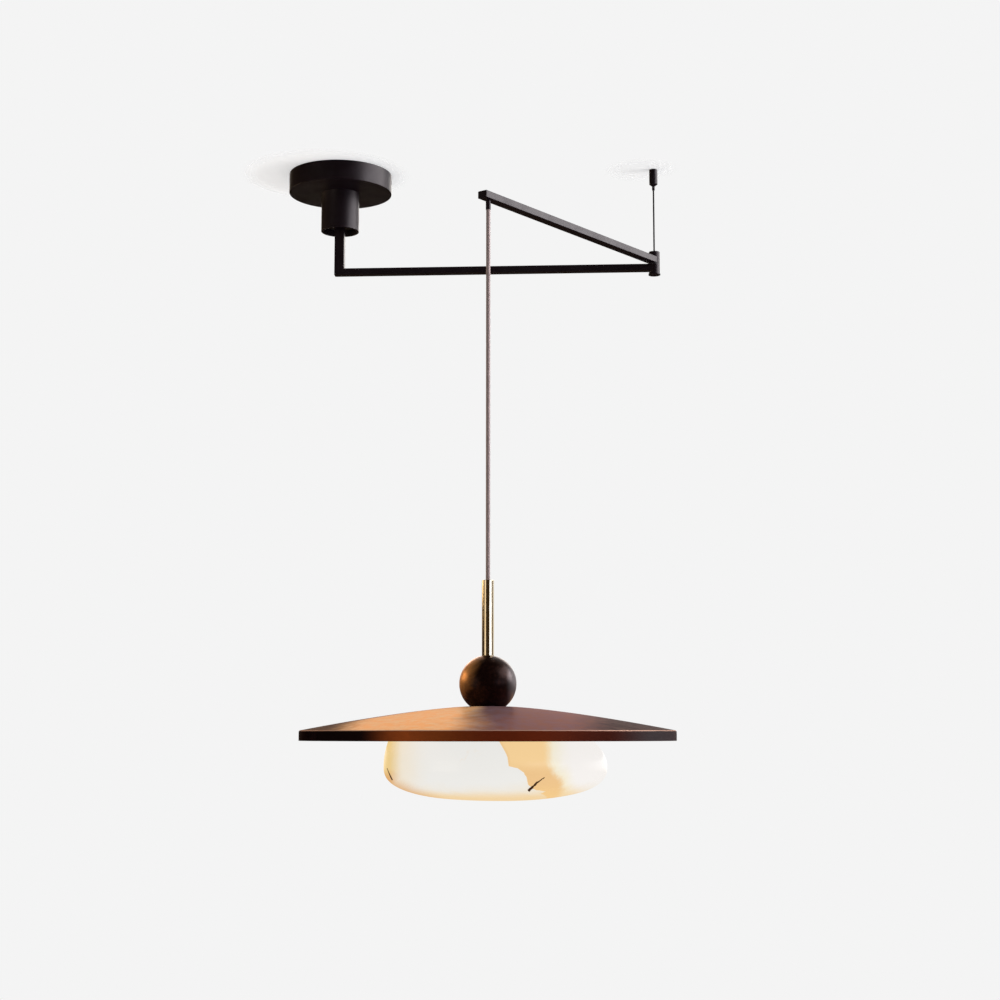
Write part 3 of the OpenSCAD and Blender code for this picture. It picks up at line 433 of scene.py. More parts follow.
# Where the stone's tones fade, by height under the shade's rim, by place across it or by depth
stoneFades = {
    "creamFoot": (-40 * mm, -62 * mm, 0, 0.8),
    "creamAndShadeLeft": (-56 * mm, -96 * mm, 0, 0.6),
    "paintedLightRight": (55 * mm, 80 * mm, 0, 0.9),
    "honeyFoot": (-48 * mm, -59 * mm, 0, 0.9),
    "amberLow": (-72 * mm, -92 * mm, 0, 0.9),
    "amberAndShadeEnd": (-86 * mm, -104 * mm),
    "burntLow": (-27 * mm, -40 * mm, 0, 0.9),
    "front": (-15 * mm, -45 * mm),
    "patchRagged": (-44 * mm, -50 * mm, 1.5 * mm, 9 * mm),
    "patchSharp": (0, 1.0 * mm),
    "patchSpread": (-18 * mm, -52 * mm, 0, 13 * mm),  # its end moves out towards the foot
    "patchSoft": (-16 * mm, -40 * mm, 0.15, 0.8),
    "patchEnd": (56 * mm, 68 * mm, 1, 0),
    "haloEnd": (60 * mm, 84 * mm, 0.8, 0),
    "deep": (-18 * mm, -34 * mm),
    "lining": (0.5 * mm, 4 * mm, 0.8, 0),
    "footLow": (-40 * mm, -56 * mm, 0, 0.8),
    "footRight": (62 * mm, 104 * mm, 1, 0),
    "veinWidth": (0.004, 0.016, 1, 0),
    "veinPlaces": (0.55, 0.70),
    "crackFront": (-8 * mm, -14 * mm),
    "crackSide": (-0.2 * mm, 0.2 * mm, 1, 0),
}


def stoneEdge(tree, height, stops):
    # A broken line down the stone: how far across it is at each height
    lowest, highest = stops[-1][0], stops[0][0]
    widest = stoneLook["patchWidest"]
    share = rangeOf(tree, height, lowest * mm, highest * mm)
    share.node.interpolation_type = "LINEAR"
    ramp = newNode(tree, "ValToRGB", {0: share})
    points = ramp.color_ramp.elements
    while len(points) < len(stops):
        points.new(0.5)
    for point, (level, across) in zip(points, sorted(stops)):
        point.position = (level - lowest) / (highest - lowest)
        point.color = (across / widest, across / widest, across / widest, 1)
    return times(tree, ramp.outputs["Color"], widest * mm)


def stoneCrack(tree, x, z, grit, start, end, startWidth, endWidth):
    # A straight crack with ragged sides between two spots, given in millimetres across and up
    middle = [(a + b) / 2 * mm for a, b in zip(start, end)]
    half = sqrt((end[0] - start[0]) ** 2 + (end[1] - start[1]) ** 2) / 2 * mm
    slope = [(b - a) / 2 * mm / half for a, b in zip(start, end)]
    across, up = minus(tree, x, middle[0]), minus(tree, z, middle[1])
    along = plus(tree, times(tree, across, slope[0]), times(tree, up, slope[1]))
    off = minus(tree, times(tree, up, slope[0]), times(tree, across, slope[1]))
    ragged = times(tree, grit, stoneLook["crackRagged"] * startWidth * mm)
    off = mathOf(tree, "ABSOLUTE", plus(tree, off, ragged))
    width = rangeOf(tree, along, -half, half, startWidth * mm, endWidth * mm)
    inside = rangeOf(tree, minus(tree, off, width), *stoneFades["crackSide"])
    return times(tree, inside, mathOf(tree, "LESS_THAN", mathOf(tree, "ABSOLUTE", along), half))


def alabaster():
    look, fade = stoneLook, stoneFades
    material, tree, shader = newMaterial("alabaster", look["white"], **look["surface"])
    rimMiddle = (lampAxis.x, lampAxis.y, bottomOf("shade"))
    point = objectPoint(tree, centre=rimMiddle, turn=radians(look["turn"]))
    broad, fine = noiseOn(tree, point, *look["broad"]), noiseOn(tree, point, *look["fine"])
    grit = minus(tree, noiseOn(tree, point, *look["grit"]), 0.5)
    x, y, z = partsOf(tree, point)
    drift, ripple = swingOf(tree, broad, look["drift"]), swingOf(tree, fine, look["ripple"])
    # Creamier at the foot and towards the left end, partly as painted shade, paler on the right as painted
    # light, honey underneath
    foot = rangeOf(tree, plus(tree, z, drift), *fade["creamFoot"])
    left = rangeOf(tree, plus(tree, x, drift), *fade["creamAndShadeLeft"])
    right = rangeOf(tree, plus(tree, x, drift), *fade["paintedLightRight"])
    stone = mixOf(tree, right, look["white"], look["pale"])
    stone = mixOf(tree, larger(tree, foot, left), stone, look["cream"])
    under = rangeOf(tree, plus(tree, z, times(tree, drift, look["underDrift"])), *fade["honeyFoot"])
    stone = mixOf(tree, under, stone, look["honey"])
    # Amber at the left end, partly the stone's own tone and partly painted shade, burnt low down
    low = rangeOf(tree, plus(tree, z, times(tree, x, look["amberLean"])), *fade["amberLow"])
    end = rangeOf(tree, plus(tree, x, ripple), *fade["amberAndShadeEnd"])
    burnt = rangeOf(tree, plus(tree, z, ripple), *fade["burntLow"])
    endTone = mixOf(tree, burnt, look["endAmber"], look["burnt"])
    stone = mixOf(tree, larger(tree, end, low), stone, endTone)
    # The amber patch: a broken edge on its left, a faded one on its right, and a pale halo beyond
    edge = stoneEdge(tree, plus(tree, z, times(tree, ripple, look["edgeRipple"])), look["patchEdge"])
    ragged = times(tree, grit, rangeOf(tree, z, *fade["patchRagged"]))
    past = minus(tree, plus(tree, x, ragged), edge)
    inPatch = times(tree, rangeOf(tree, past, *fade["patchSharp"]), rangeOf(tree, y, *fade["front"]))
    outward = minus(tree, x, rangeOf(tree, z, *fade["patchSpread"]))
    soft = times(tree, drift, rangeOf(tree, z, *fade["patchSoft"]))
    softer = times(tree, plus(tree, ripple, times(tree, grit, look["patchGrit"])), look["softShare"])
    faded = rangeOf(tree, plus(tree, outward, plus(tree, soft, softer)), *fade["patchEnd"])
    halo = rangeOf(tree, plus(tree, outward, drift), *fade["haloEnd"])
    stone = mixOf(tree, times(tree, inPatch, halo), stone, look["halo"])
    depth = rangeOf(tree, plus(tree, z, ripple), *fade["deep"])
    lining = rangeOf(tree, past, *fade["lining"])
    amber = mixOf(tree, larger(tree, depth, lining), look["amber"], look["deepAmber"])
    share = times(tree, times(tree, inPatch, faded), look["patchShare"])
    stone = mixOf(tree, share, stone, amber)
    footRight = times(tree, rangeOf(tree, z, *fade["footLow"]), rangeOf(tree, x, *fade["footRight"]))
    stone = mixOf(tree, times(tree, footRight, inPatch), stone, look["amber"])
    # Fine veins, and dark cracks
    warped = mathOf(tree, "ABSOLUTE", minus(tree, noiseOn(tree, point, *look["veins"]), 0.5))
    vein = times(tree, rangeOf(tree, warped, *fade["veinWidth"]), rangeOf(tree, broad, *fade["veinPlaces"]))
    stone = mixOf(tree, times(tree, vein, look["veinShare"]), stone, look["amber"])
    cracks = 0.0
    for crack in look["cracks"]:
        cracks = larger(tree, cracks, stoneCrack(tree, x, z, grit, *crack))
    cracks = times(tree, cracks, rangeOf(tree, y, *fade["crackFront"]))
    stone = mixOf(tree, cracks, stone, look["brown"])
    colourBy(tree, shader, mixOf(tree, 1 - look["body"], stone, (0, 0, 0)))
    tree.links.new(stone, shader.inputs["Emission Color"])
    shader.inputs["Emission Strength"].default_value = look["glow"]
    bumpOn(tree, shader, fine, *look["bump"])
    return material


cordLook = {
    "light": (0.62, 0.51, 0.505),
    "dark": (0.27, 0.20, 0.20),
    "surface": {"metallic": 0.55, "roughness": 0.62, "specular": 0.1},
    "strands": 9,  # round the cord, each way
    "turnLength": 22.5 * mm,  # of one strand
    "bump": (0.5, 0.12 * mm),
}

wireLook = {
    "light": (0.035, 0.032, 0.033),
    "dark": (0.006, 0.005, 0.005),
    "surface": {"metallic": 0.5, "roughness": 0.5, "specular": 0.2},
    "strands": 7,
    "turnLength": 9 * mm,
    "bump": (0.6, 0.1 * mm),
}


def windingOf(tree, axis, look):
    # Where a point is round the strands, and how far these turn on the way up to it
    x, y, z = partsOf(tree, objectPoint(tree, centre=(axis.x, axis.y, 0)))
    around = times(tree, mathOf(tree, "ARCTAN2", y, x), look["strands"])
    return around, times(tree, z, look["strands"] * 2 * pi / look["turnLength"])


def cordCloth():
    # A woven cover: two sets of strands that cross
    look = cordLook
    material, tree, shader = newMaterial("cordCloth", look["light"], **look["surface"])
    around, climb = windingOf(tree, lampAxis, look)
    left = mathOf(tree, "SINE", plus(tree, around, climb))
    right = mathOf(tree, "SINE", minus(tree, around, climb))
    weave = rangeOf(tree, times(tree, left, right), -0.9, 0.9)
    colourBy(tree, shader, mixOf(tree, weave, look["dark"], look["light"]))
    bumpOn(tree, shader, weave, *look["bump"])
    return material


def wireRope():
    look = wireLook
    material, tree, shader = newMaterial("wireRope", look["light"], **look["surface"])
    strand = rangeOf(tree, mathOf(tree, "SINE", plus(tree, *windingOf(tree, elbowAxis, look))), -1, 1)
    colourBy(tree, shader, mixOf(tree, strand, look["dark"], look["light"]))
    bumpOn(tree, shader, strand, *look["bump"])
    return material


metalLook = {"shadow": 0.7, "cloud": (120, 4), "uneven": (-0.06, 0.08), "grain": (1500, 2),
             "bump": (0.12, 0.02 * mm)}
plasticLook = {"shadow": 0.9, "specular": 0.4, "cloud": (80,), "grain": (2200, 2),
               "bump": (0.15, 0.02 * mm)}


def plainMetal(name, base, roughness):
    look = metalLook
    material, tree, shader = newMaterial(name, base, metallic=1.0, roughness=roughness)
    point = objectPoint(tree)
    cloud = noiseOn(tree, point, *look["cloud"])
    colourBy(tree, shader, mixOf(tree, cloud, tuple(look["shadow"] * c for c in base), base))
    roughenBy(tree, shader, cloud, [roughness + more for more in look["uneven"]])
    bumpOn(tree, shader, noiseOn(tree, point, *look["grain"]), *look["bump"])
    return material


def mouldedPlastic(name, base, roughness=0.5):
    look = plasticLook
    material, tree, shader = newMaterial(name, base, roughness=roughness, specular=look["specular"])
    point = objectPoint(tree)
    cloud = noiseOn(tree, point, *look["cloud"])
    colourBy(tree, shader, mixOf(tree, cloud, tuple(look["shadow"] * c for c in base), base))
    bumpOn(tree, shader, noiseOn(tree, point, *look["grain"]), *look["bump"])
    return material


finishes = {
    "black_paint": blackPaint(),
    "steel": plainMetal("zincSteel", (0.56, 0.57, 0.60), 0.34),
    "wire_steel": wireRope(),
    "brass": polishedBrass(),
    "bronze": shadePatina(),
    "dark_bronze": ballPatina(),
    "aluminium": plainMetal("spreaderAluminium", (0.78, 0.78, 0.80), 0.38),
    "alabaster": alabaster(),
    "cord_fabric": cordCloth(),
    "lead_plastic": mouldedPlastic("leadPlastic", (0.70, 0.70, 0.69)),
    "white_plastic": mouldedPlastic("whitePlastic", (0.80, 0.80, 0.78), 0.4),
    "grey_plastic": mouldedPlastic("greyPlastic", (0.10, 0.10, 0.11), 0.45),
}
print("materials made:", len(finishes))


slotOf = {part["node"]: part["material_slot"] for part in frame["record"]["subparts"]}
bodyOf = {node: body for body, nodes in frame["record"]["behaviour"]["bodies"].items() for node in nodes}


def finishPiece(bm, name, *nodes):
    # Makes the object, gives it its finish and lets it ride and stand for its CAD nodes
    bmesh.ops.recalc_face_normals(bm, faces=bm.faces)
    mesh = bpy.data.meshes.new(name)
    bm.to_mesh(mesh)
    bm.free()
    mesh.shade_smooth()
    piece = bpy.data.objects.new(name, mesh)
    bpy.context.collection.objects.link(piece)
    mesh.materials.append(finishes[slotOf[nodes[0]]])
    evener = piece.modifiers.new("evenShading", "WEIGHTED_NORMAL")
    evener.weight = 80
    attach(piece, bodyOf[nodes[0]])
    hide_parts(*nodes)
    return piece


def roundEdges(bm, width, sharperThan):
    edges = [e for e in bm.edges if len(e.link_faces) == 2 and e.calc_face_angle() > radians(sharperThan)]
    bmesh.ops.bevel(bm, geom=edges, offset=width, segments=2, profile=0.5,
                    affect="EDGES", material=-1, clamp_overlap=True)


def spinAll(bm, geom, axis, turns):
    bmesh.ops.spin(bm, geom=geom, cent=(axis.x, axis.y, 0), axis=(0, 0, 1), angle=2 * pi, steps=turns,
                   use_merge=True, use_duplicate=False)
    bmesh.ops.remove_doubles(bm, verts=bm.verts, dist=mergeDistance)


def turned(outline, axis, turns, closed=True):
    # Spins an outline of (radius, height, rounding) about an upright axis
    bm = bmesh.new()
    corners = [bm.verts.new((axis.x + radius, axis.y, height)) for radius, height, _ in outline]
    for a, b in zip(corners, corners[1:] + (corners[:1] if closed else [])):
        bm.edges.new((a, b))
    for width in sorted({rounding for _, _, rounding in outline if rounding}):
        chosen = [c for c, (_, _, rounding) in zip(corners, outline) if rounding == width]
        bmesh.ops.bevel(bm, geom=chosen, offset=width, offset_type="OFFSET", segments=4,
                        profile=0.5, affect="VERTICES", material=-1)
    spinAll(bm, bm.verts[:] + bm.edges[:], axis, turns)
    bmesh.ops.recalc_face_normals(bm, faces=bm.faces)
    return bm


def hexSocket(bm, axis, level, flats, depth):
    # Joins the open ring at a level to a hexagon, which is then pushed in
    rim = [e for e in bm.edges if e.is_boundary and all(abs(v.co.z - level) < 0.01 * mm for v in e.verts)]
    bmesh.ops.create_circle(bm, segments=6, radius=flats / 2 / cos(radians(30)),
                            matrix=Matrix.Translation((axis.x, axis.y, level)))
    hexagon = [e for e in bm.edges if e.is_wire]
    bmesh.ops.bridge_loops(bm, edges=rim + hexagon)
    grown = bmesh.ops.extrude_edge_only(bm, edges=hexagon)["geom"]
    floor = [part for part in grown if isinstance(part, bmesh.types.BMVert)]
    bmesh.ops.translate(bm, verts=floor, vec=(0, 0, depth))
    bmesh.ops.contextual_create(bm, geom=floor)


def roundBar(corners, along, roundRims):
    # A flat outline extruded, with the edges of its rims rounded, or those between them
    size = armSize
    bm = bmesh.new()
    face = bm.faces.new([bm.verts.new(corner) for corner in corners])
    grown = bmesh.ops.extrude_face_region(bm, geom=[face])["geom"]
    bmesh.ops.translate(bm, verts=[part for part in grown if isinstance(part, bmesh.types.BMVert)], vec=along)
    across = Vector(along).normalized()
    rims = [e for e in bm.edges if abs((e.verts[0].co - e.verts[1].co).normalized().dot(across)) < 0.5]
    edges = rims if roundRims else [e for e in bm.edges if e not in rims]
    bmesh.ops.bevel(bm, geom=edges, offset=size["rounding"], segments=4, profile=0.5,
                    affect="EDGES", material=-1)
    roundEdges(bm, size["lip"], sharperThan=60)
    return bm


cordSize = {
    "length": 410.5 * mm,
    "diameter": 4.7 * mm,
    "raised": 300 * mm,  # how far the lamp can be drawn up
    "route": [(0, 0, 0), (0, 0, -200 * mm), (0, 0, -410.5 * mm)],
    "points": 36,
    "sides": 24,
}

wireSize = {
    "diameter": 2.0 * mm,
    "route": [(0, 0, -8.5 * mm), (0, 0, -60 * mm), (0, 0, -115 * mm)],
    "points": 24,
    "sides": 16,
}


def straightTube(size, origin):
    # A tube with even points along a straight route
    start, end = Vector(size["route"][0]), Vector(size["route"][-1])
    path = [origin + start.lerp(end, i / (size["points"] - 1)) for i in range(size["points"])]
    outline = [(0, path[0].z, 0)]
    outline += [(size["diameter"] / 2, p.z, 0) for p in path]
    outline += [(0, path[-1].z, 0)]
    return turned(outline, path[0], size["sides"], closed=False), path


def pendantCord():
    size = cordSize
    mouth = Vector((lampAxis.x, lampAxis.y, topOf("pendant_cord")))
    bm, path = straightTube(size, mouth)
    piece = finishPiece(bm, "pendantCord", "pendant_cord")
    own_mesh(piece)


def supportWire():
    size = wireSize
    bm, path = straightTube(size, Vector((elbowAxis.x, elbowAxis.y, 0)))
    piece = finishPiece(bm, "supportWire", "support_wire")


pendantCord()
supportWire()
print("cords made")


coverSize = {
    "wall": 1.5 * mm,
    "hole": 24.2 * mm,
    "edge": 0.6 * mm,
    "topEdge": 0.3 * mm,
    "holeEdge": 0.2 * mm,
    "turns": 96,
    "patch": 3 * mm,  # half the height of the wall's patch round a screw hole
    "screwHole": 2.1 * mm,
    "screwRadius": 1.9 * mm,
    "screwLength": 8 * mm,
    "screwEdge": 0.25 * mm,
    "screwSides": 24,
    "socketRing": 1.45 * mm,
    "socketFlats": 2 * mm,
    "socketDepth": 2 * mm,
}


def canopyCover():
    size = coverSize
    top, bottom, radius = topOf("canopy_cover"), bottomOf("canopy_cover"), radiusOf("canopy_cover")
    level = middleOf("cover_screws").z
    inside, floor = radius - size["wall"], bottom + size["wall"]
    above, below = level + size["patch"], level - size["patch"]
    outline = [(radius, top, size["topEdge"]), (radius, above, 0), (radius, below, 0),
               (radius, bottom, size["edge"]), (size["hole"], bottom, size["holeEdge"]),
               (size["hole"], floor, 0), (inside, floor, 0), (inside, below, 0), (inside, above, 0),
               (inside, top, 0)]
    bm = turned(outline, shoulderAxis, size["turns"])
    # A screw hole through each side: two patches of wall give way to a pair of circles
    step = 2 * pi * radius / size["turns"]
    for side in (1, -1):
        patch = []
        for face in bm.faces:
            spot = face.calc_center_median()
            if side * spot.x > 0 and abs(spot.y) < step and below < spot.z < above:
                patch.append(face)
        bmesh.ops.delete(bm, geom=patch, context="FACES")
        loops = [e for e in bm.edges if e.is_boundary and side * e.verts[0].co.x > 0]
        circles = []
        for wall in (radius, inside):
            rim = [e for e in loops if abs(Vector(e.verts[0].co[:2]).length - wall) < 0.3 * mm]
            spot = Matrix.Translation((side * wall, 0, level)) @ Matrix.Rotation(pi / 2, 4, "Y")
            bmesh.ops.create_circle(bm, segments=size["screwSides"], radius=size["screwHole"], matrix=spot)
            circle = [e for e in bm.edges if e.is_wire]
            bmesh.ops.bridge_loops(bm, edges=rim + circle)
            circles += circle
        bmesh.ops.bridge_loops(bm, edges=circles)
    finishPiece(bm, "canopyCover", "canopy_cover")


def coverScrews():
    # Two socket screws that stand just inside the cover's holes
    size = coverSize
    low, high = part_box("cover_screws")
    radius, length, edge = size["screwRadius"], size["screwLength"], size["screwEdge"]
    origin = Vector((0, 0, 0))
    bm = bmesh.new()
    for side in (1, -1):
        screw = turned([(size["socketRing"], 0, 0), (radius, 0, edge), (radius, -length, edge),
                        (0, -length, 0)], origin, size["screwSides"], closed=False)
        hexSocket(screw, origin, 0, size["socketFlats"], -size["socketDepth"])
        bmesh.ops.rotate(screw, cent=origin, matrix=Matrix.Rotation(side * pi / 2, 3, "Y"), verts=screw.verts)
        bmesh.ops.translate(screw, vec=(high[0] if side > 0 else low[0], 0, (low[2] + high[2]) / 2),
                            verts=screw.verts)
        part = bpy.data.meshes.new("coverScrew")
        screw.to_mesh(part)
        screw.free()
        bm.from_mesh(part)
        bpy.data.meshes.remove(part)
    finishPiece(bm, "coverScrews", "cover_screws")


neckSize = {
    "flange": 33 * mm,
    "flangeThickness": 4 * mm,
    "radius": 24 * mm,
    "inside": 21 * mm,
    "recess": 12 * mm,
    "web": 12 * mm,
    "bearing": 9.05 * mm,
    "edge": 0.5 * mm,
    "thinEdge": 0.3 * mm,
    "webEdges": (0.6 * mm, 0.2 * mm),
    "turns": 96,
}


def neck():
    size = neckSize
    flange, radius, inside, bearing = [size[part] for part in ("flange", "radius", "inside", "bearing")]
    top, bottom = topOf("neck_housing"), bottomOf("neck_housing")
    step, under = top - size["flangeThickness"], bottom + size["recess"]
    above = under + size["web"]
    thin, (outer, inner) = size["thinEdge"], size["webEdges"]
    outline = [(flange, top, thin), (flange, step, thin), (radius, step, 0), (radius, bottom, size["edge"]),
               (inside, bottom, thin), (inside, under, outer), (bearing, under, inner), (bearing, above, 0),
               (inside, above, 0), (inside, top, 0)]
    finishPiece(turned(outline, shoulderAxis, size["turns"]), "neck", "neck_housing")


armSize = {
    "width": 12 * mm,
    "riser": 12.25 * mm,
    "height": 8.25 * mm,
    "rounding": 0.8 * mm,
    "lip": 0.12 * mm,
    "seat": 3 * mm,  # how near a bar comes to the elbow's axis, inside its barrel
    "reach": 10.7 * mm,  # how far the upper arm goes past the cord
    "plug": 1.2 * mm,
}


def lowerArm():
    # Riser and arm in one: an L seen from the side, extruded across
    size = armSize
    low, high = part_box("lower_arm_tube")
    left, right, edge = low[0], elbowAxis.x - size["seat"], shoulderAxis.x + size["riser"] / 2
    under, up, top = low[2], low[2] + size["height"], high[2]
    corners = [(x, shoulderAxis.y - size["width"] / 2, z) for x, z in
               ((left, under), (right, under), (right, up), (edge, up), (edge, top), (left, top))]
    finishPiece(roundBar(corners, (0, size["width"], 0), True), "lowerArm", "lower_arm_tube")


def upperBar(name, node, start, end):
    # A length of the upper arm's bar, made along +X and then turned to the arm's direction
    half, rise, z = armSize["width"] / 2, armSize["height"] / 2, middleOf("upper_arm_tube").z
    corners = [(start, y, z + h) for y, h in ((-half, -rise), (half, -rise), (half, rise), (-half, rise))]
    bm = roundBar(corners, (end - start, 0, 0), False)
    heading = atan2(lampAxis.y - elbowAxis.y, lampAxis.x - elbowAxis.x)
    bmesh.ops.rotate(bm, cent=(0, 0, 0), matrix=Matrix.Rotation(heading, 3, "Z"), verts=bm.verts)
    bmesh.ops.translate(bm, vec=(elbowAxis.x, elbowAxis.y, 0), verts=bm.verts)
    finishPiece(bm, name, node)


def upperArm():
    # The bar, and the plate that closes its end: a fine seam shows between them
    length = (lampAxis - elbowAxis).xy.length + armSize["reach"]
    upperBar("upperArm", "upper_arm_tube", armSize["seat"], length - armSize["plug"])
    upperBar("armEnd", "arm_end_plug", length - armSize["plug"], length)


# Spun pieces: radius, height above the named level, and rounding, in millimetres
elbowShapes = {
    "lowerBarrel": ("lower_barrel", bottomOf,
                    [(6.85, 12.025, 0.15), (6.85, 0, 0.25), (2.3, 0, 0), (2.3, 2.5, 0), (5.5, 2.5, 0),
                     (5.5, 12.025, 0.1)]),
    "upperBarrel": ("upper_barrel", topOf,
                    [(6.85, -15.325, 0.15), (6.85, 0, 0.3), (5.0, 0, 0.15), (5.0, -2, 0), (3.5, -2, 0),
                     (3.5, -4.5, 0), (5.5, -4.5, 0), (5.5, -15.325, 0.1)]),
    "wireGripper": ("gripper_body", topOf,
                    [(3.0, 0, 0), (5.2, 0, 0.15), (5.2, -19, 0.3), (2.6, -21, 0.15), (1.9, -21, 0),
                     (1.9, -17, 0), (3.5, -17, 0), (3.5, -9, 0), (1.2, -9, 0), (1.2, -8, 0), (3.0, -8, 0)]),
    "releaseNipple": ("release_nipple", bottomOf,
                      [(1.25, 0, 0.1), (1.8, 0, 0.3), (1.8, 9.5, 0), (1.25, 9.5, 0)]),
}
elbowTurns = 48


def elbowPieces():
    for name, (node, level, shape) in elbowShapes.items():
        outline = [(radius * mm, level(node) + height * mm, rounding * mm)
                   for radius, height, rounding in shape]
        finishPiece(turned(outline, elbowAxis, elbowTurns), name, node)


springSize = {
    "wire": 0.4 * mm,  # the wire's radius
    "gap": 0.5 * mm,  # from its middle to the spring's outside
    "turns": 5,
    "steps": 24,
    "sides": 10,
    "travel": 1.5 * mm,  # how far the nipple pushes it
}


def gripperSpring():
    # A circle spun and raised at once into a coil; the real spring is pressed together as the nipple is
    # pushed in
    size = springSize
    bottom, top = bottomOf("gripper_spring"), topOf("gripper_spring")
    steps = size["steps"] * size["turns"]
    climb = ((top - size["wire"]) - (bottom + size["wire"])) / steps
    start = Vector((elbowAxis.x + radiusOf("gripper_spring") - size["gap"], elbowAxis.y,
                    bottom + size["wire"]))
    bm = bmesh.new()
    bmesh.ops.create_circle(bm, segments=size["sides"], radius=size["wire"],
                            matrix=Matrix.Translation(start) @ Matrix.Rotation(pi / 2, 4, "X"))
    bmesh.ops.spin(bm, geom=bm.verts[:] + bm.edges[:], cent=(elbowAxis.x, elbowAxis.y, 0), axis=(0, 0, 1),
                   dvec=(0, 0, climb), angle=2 * pi * size["turns"], steps=steps,
                   use_merge=False, use_duplicate=False)
    bmesh.ops.holes_fill(bm, edges=[e for e in bm.edges if e.is_boundary])
    piece = finishPiece(bm, "gripperSpring", "gripper_spring")
    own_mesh(piece)


pinSize = {
    "socketRing": 3.1 * mm,
    "socketFlats": 4 * mm,
    "socketDepth": 1 * mm,
    "headThickness": 1.8 * mm,
    "headEdges": (0.4 * mm, 0.2 * mm),
    "shank": 2.25 * mm,
    "shankEdge": 0.2 * mm,
    "seat": 1.2 * mm,  # the wire's end is seated in it
    "seatDepth": 9 * mm,
    "seatEdge": 0.1 * mm,
}


def elbowPin():
    # A wide head with a socket under the barrel, and a shank that the wire is seated in
    size = pinSize
    top, bottom, head = topOf("elbow_pin"), bottomOf("elbow_pin"), radiusOf("elbow_pin")
    shank, seat, foot = size["shank"], size["seat"], top - size["seatDepth"]
    shoulder = bottom + size["headThickness"]
    outline = [(size["socketRing"], bottom, 0), (head, bottom, size["headEdges"][0]),
               (head, shoulder, size["headEdges"][1]), (shank, shoulder, 0), (shank, top, size["shankEdge"]),
               (seat, top, size["seatEdge"]), (seat, foot, 0), (0, foot, 0)]
    bm = turned(outline, elbowAxis, elbowTurns, closed=False)
    hexSocket(bm, elbowAxis, bottom, size["socketFlats"], size["socketDepth"])
    finishPiece(bm, "elbowPin", "elbow_pin")


glandSize = {"hole": 2.4 * mm, "radius": 2.8 * mm, "edges": (0.1 * mm, 0.12 * mm), "turns": 32}


def cordGland():
    mouth, top = bottomOf("cord_gland"), topOf("cord_gland")
    hole, radius, (inner, outer) = glandSize["hole"], glandSize["radius"], glandSize["edges"]
    outline = [(hole, mouth, inner), (radius, mouth, outer), (radius, top, 0), (hole, top, 0)]
    finishPiece(turned(outline, lampAxis, glandSize["turns"]), "cordGland", "cord_gland")


canopyCover()
coverScrews()
neck()
lowerArm()
upperArm()
elbowPieces()
gripperSpring()
elbowPin()
cordGland()
print("mount and arms made")


stemSize = {
    "radius": 6.5 * mm,
    "bushRadius": 5.4 * mm,
    "bushDepth": 9 * mm,
    "bushSunk": 0.5 * mm,
    "bushEdge": 0.3 * mm,
    "mouth": 5.5 * mm,
    "mouthEdge": 0.2 * mm,
    "edge": 0.5 * mm,
    "slack": 0.1 * mm,  # round the cord
    "turns": 96,
}


def stem():
    # The tube, and the bush in its mouth that the cord goes through
    size = stemSize
    top, bottom, radius = topOf("stem_tube"), bottomOf("stem_tube"), size["radius"]
    hole = cordSize["diameter"] / 2 + size["slack"]
    sunk = top - size["bushSunk"]
    outline = [(hole, top - size["bushDepth"], 0), (hole, sunk, size["bushEdge"]),
               (size["bushRadius"], sunk, 0), (size["mouth"], top, size["mouthEdge"]),
               (radius, top, size["edge"]), (radius, bottom, size["mouthEdge"]), (hole, bottom, 0)]
    finishPiece(turned(outline, lampAxis, size["turns"]), "stem", "stem_tube", "stem_bush")


ballSize = {
    "radius": 30.6 * mm,
    "flat": 6.5 * mm,  # the upper flat is as wide as the stem
    "edge": 0.3 * mm,
    "around": 128,
    "upward": 72,
}


def ball():
    # A sphere cut flat at both ends
    size = ballSize
    low, high = bottomOf("ball"), topOf("ball")
    centre = high - sqrt(size["radius"] ** 2 - size["flat"] ** 2)
    bm = bmesh.new()
    bmesh.ops.create_uvsphere(bm, u_segments=size["around"], v_segments=size["upward"], radius=size["radius"],
                              matrix=Matrix.Translation((lampAxis.x, lampAxis.y, centre)))
    for level, outward in ((high, 1), (low, -1)):
        bmesh.ops.bisect_plane(bm, geom=bm.verts[:] + bm.edges[:] + bm.faces[:], dist=mergeDistance,
                               plane_co=(0, 0, level), plane_no=(0, 0, outward), clear_outer=True)
        bmesh.ops.holes_fill(bm, edges=[e for e in bm.edges if e.is_boundary])
    roundEdges(bm, size["edge"], sharperThan=30)
    finishPiece(bm, "ball", "ball")


def shade():
    size = shadeSize
    top, bottom = topOf("shade"), bottomOf("shade")
    radius, seat, hole, metal, lip = [size[part] for part in ("radius", "seat", "hole", "metal", "lip")]

    def crown(at):
        share = (at - seat) / (radius - seat)
        return top - size["rise"] * max(share, 0) ** size["power"]

    reach = radius - size["edge"] * 0.3
    rows = [seat + (reach - seat) * i / size["steps"] for i in range(size["steps"] + 1)]
    outline = [(hole, top, 0)]
    outline += [(r, crown(r), 0) for r in rows[:-1]]
    outline += [(radius, crown(radius), size["edge"]), (radius, bottom, lip),
                (radius - metal, bottom, lip), (radius - metal, crown(radius) - metal, 0)]
    outline += [(r, crown(r) - metal, 0) for r in reversed(rows[:-2])]
    outline += [(hole, top - metal, 0)]
    finishPiece(turned(outline, lampAxis, size["turns"]), "shade", "shade")


plateSize = {"hole": 4.2 * mm, "edge": 0.2 * mm, "turns": 192}


def backPlate():
    bottom, top, radius = bottomOf("back_plate"), topOf("back_plate"), radiusOf("back_plate")
    hole, edge = plateSize["hole"], plateSize["edge"]
    outline = [(hole, bottom, 0), (radius, bottom, edge), (radius, top, edge), (hole, top, 0)]
    finishPiece(turned(outline, lampAxis, plateSize["turns"]), "backPlate", "back_plate")


stem()
ball()
shade()
backPlate()
print("stem, ball and shade made")


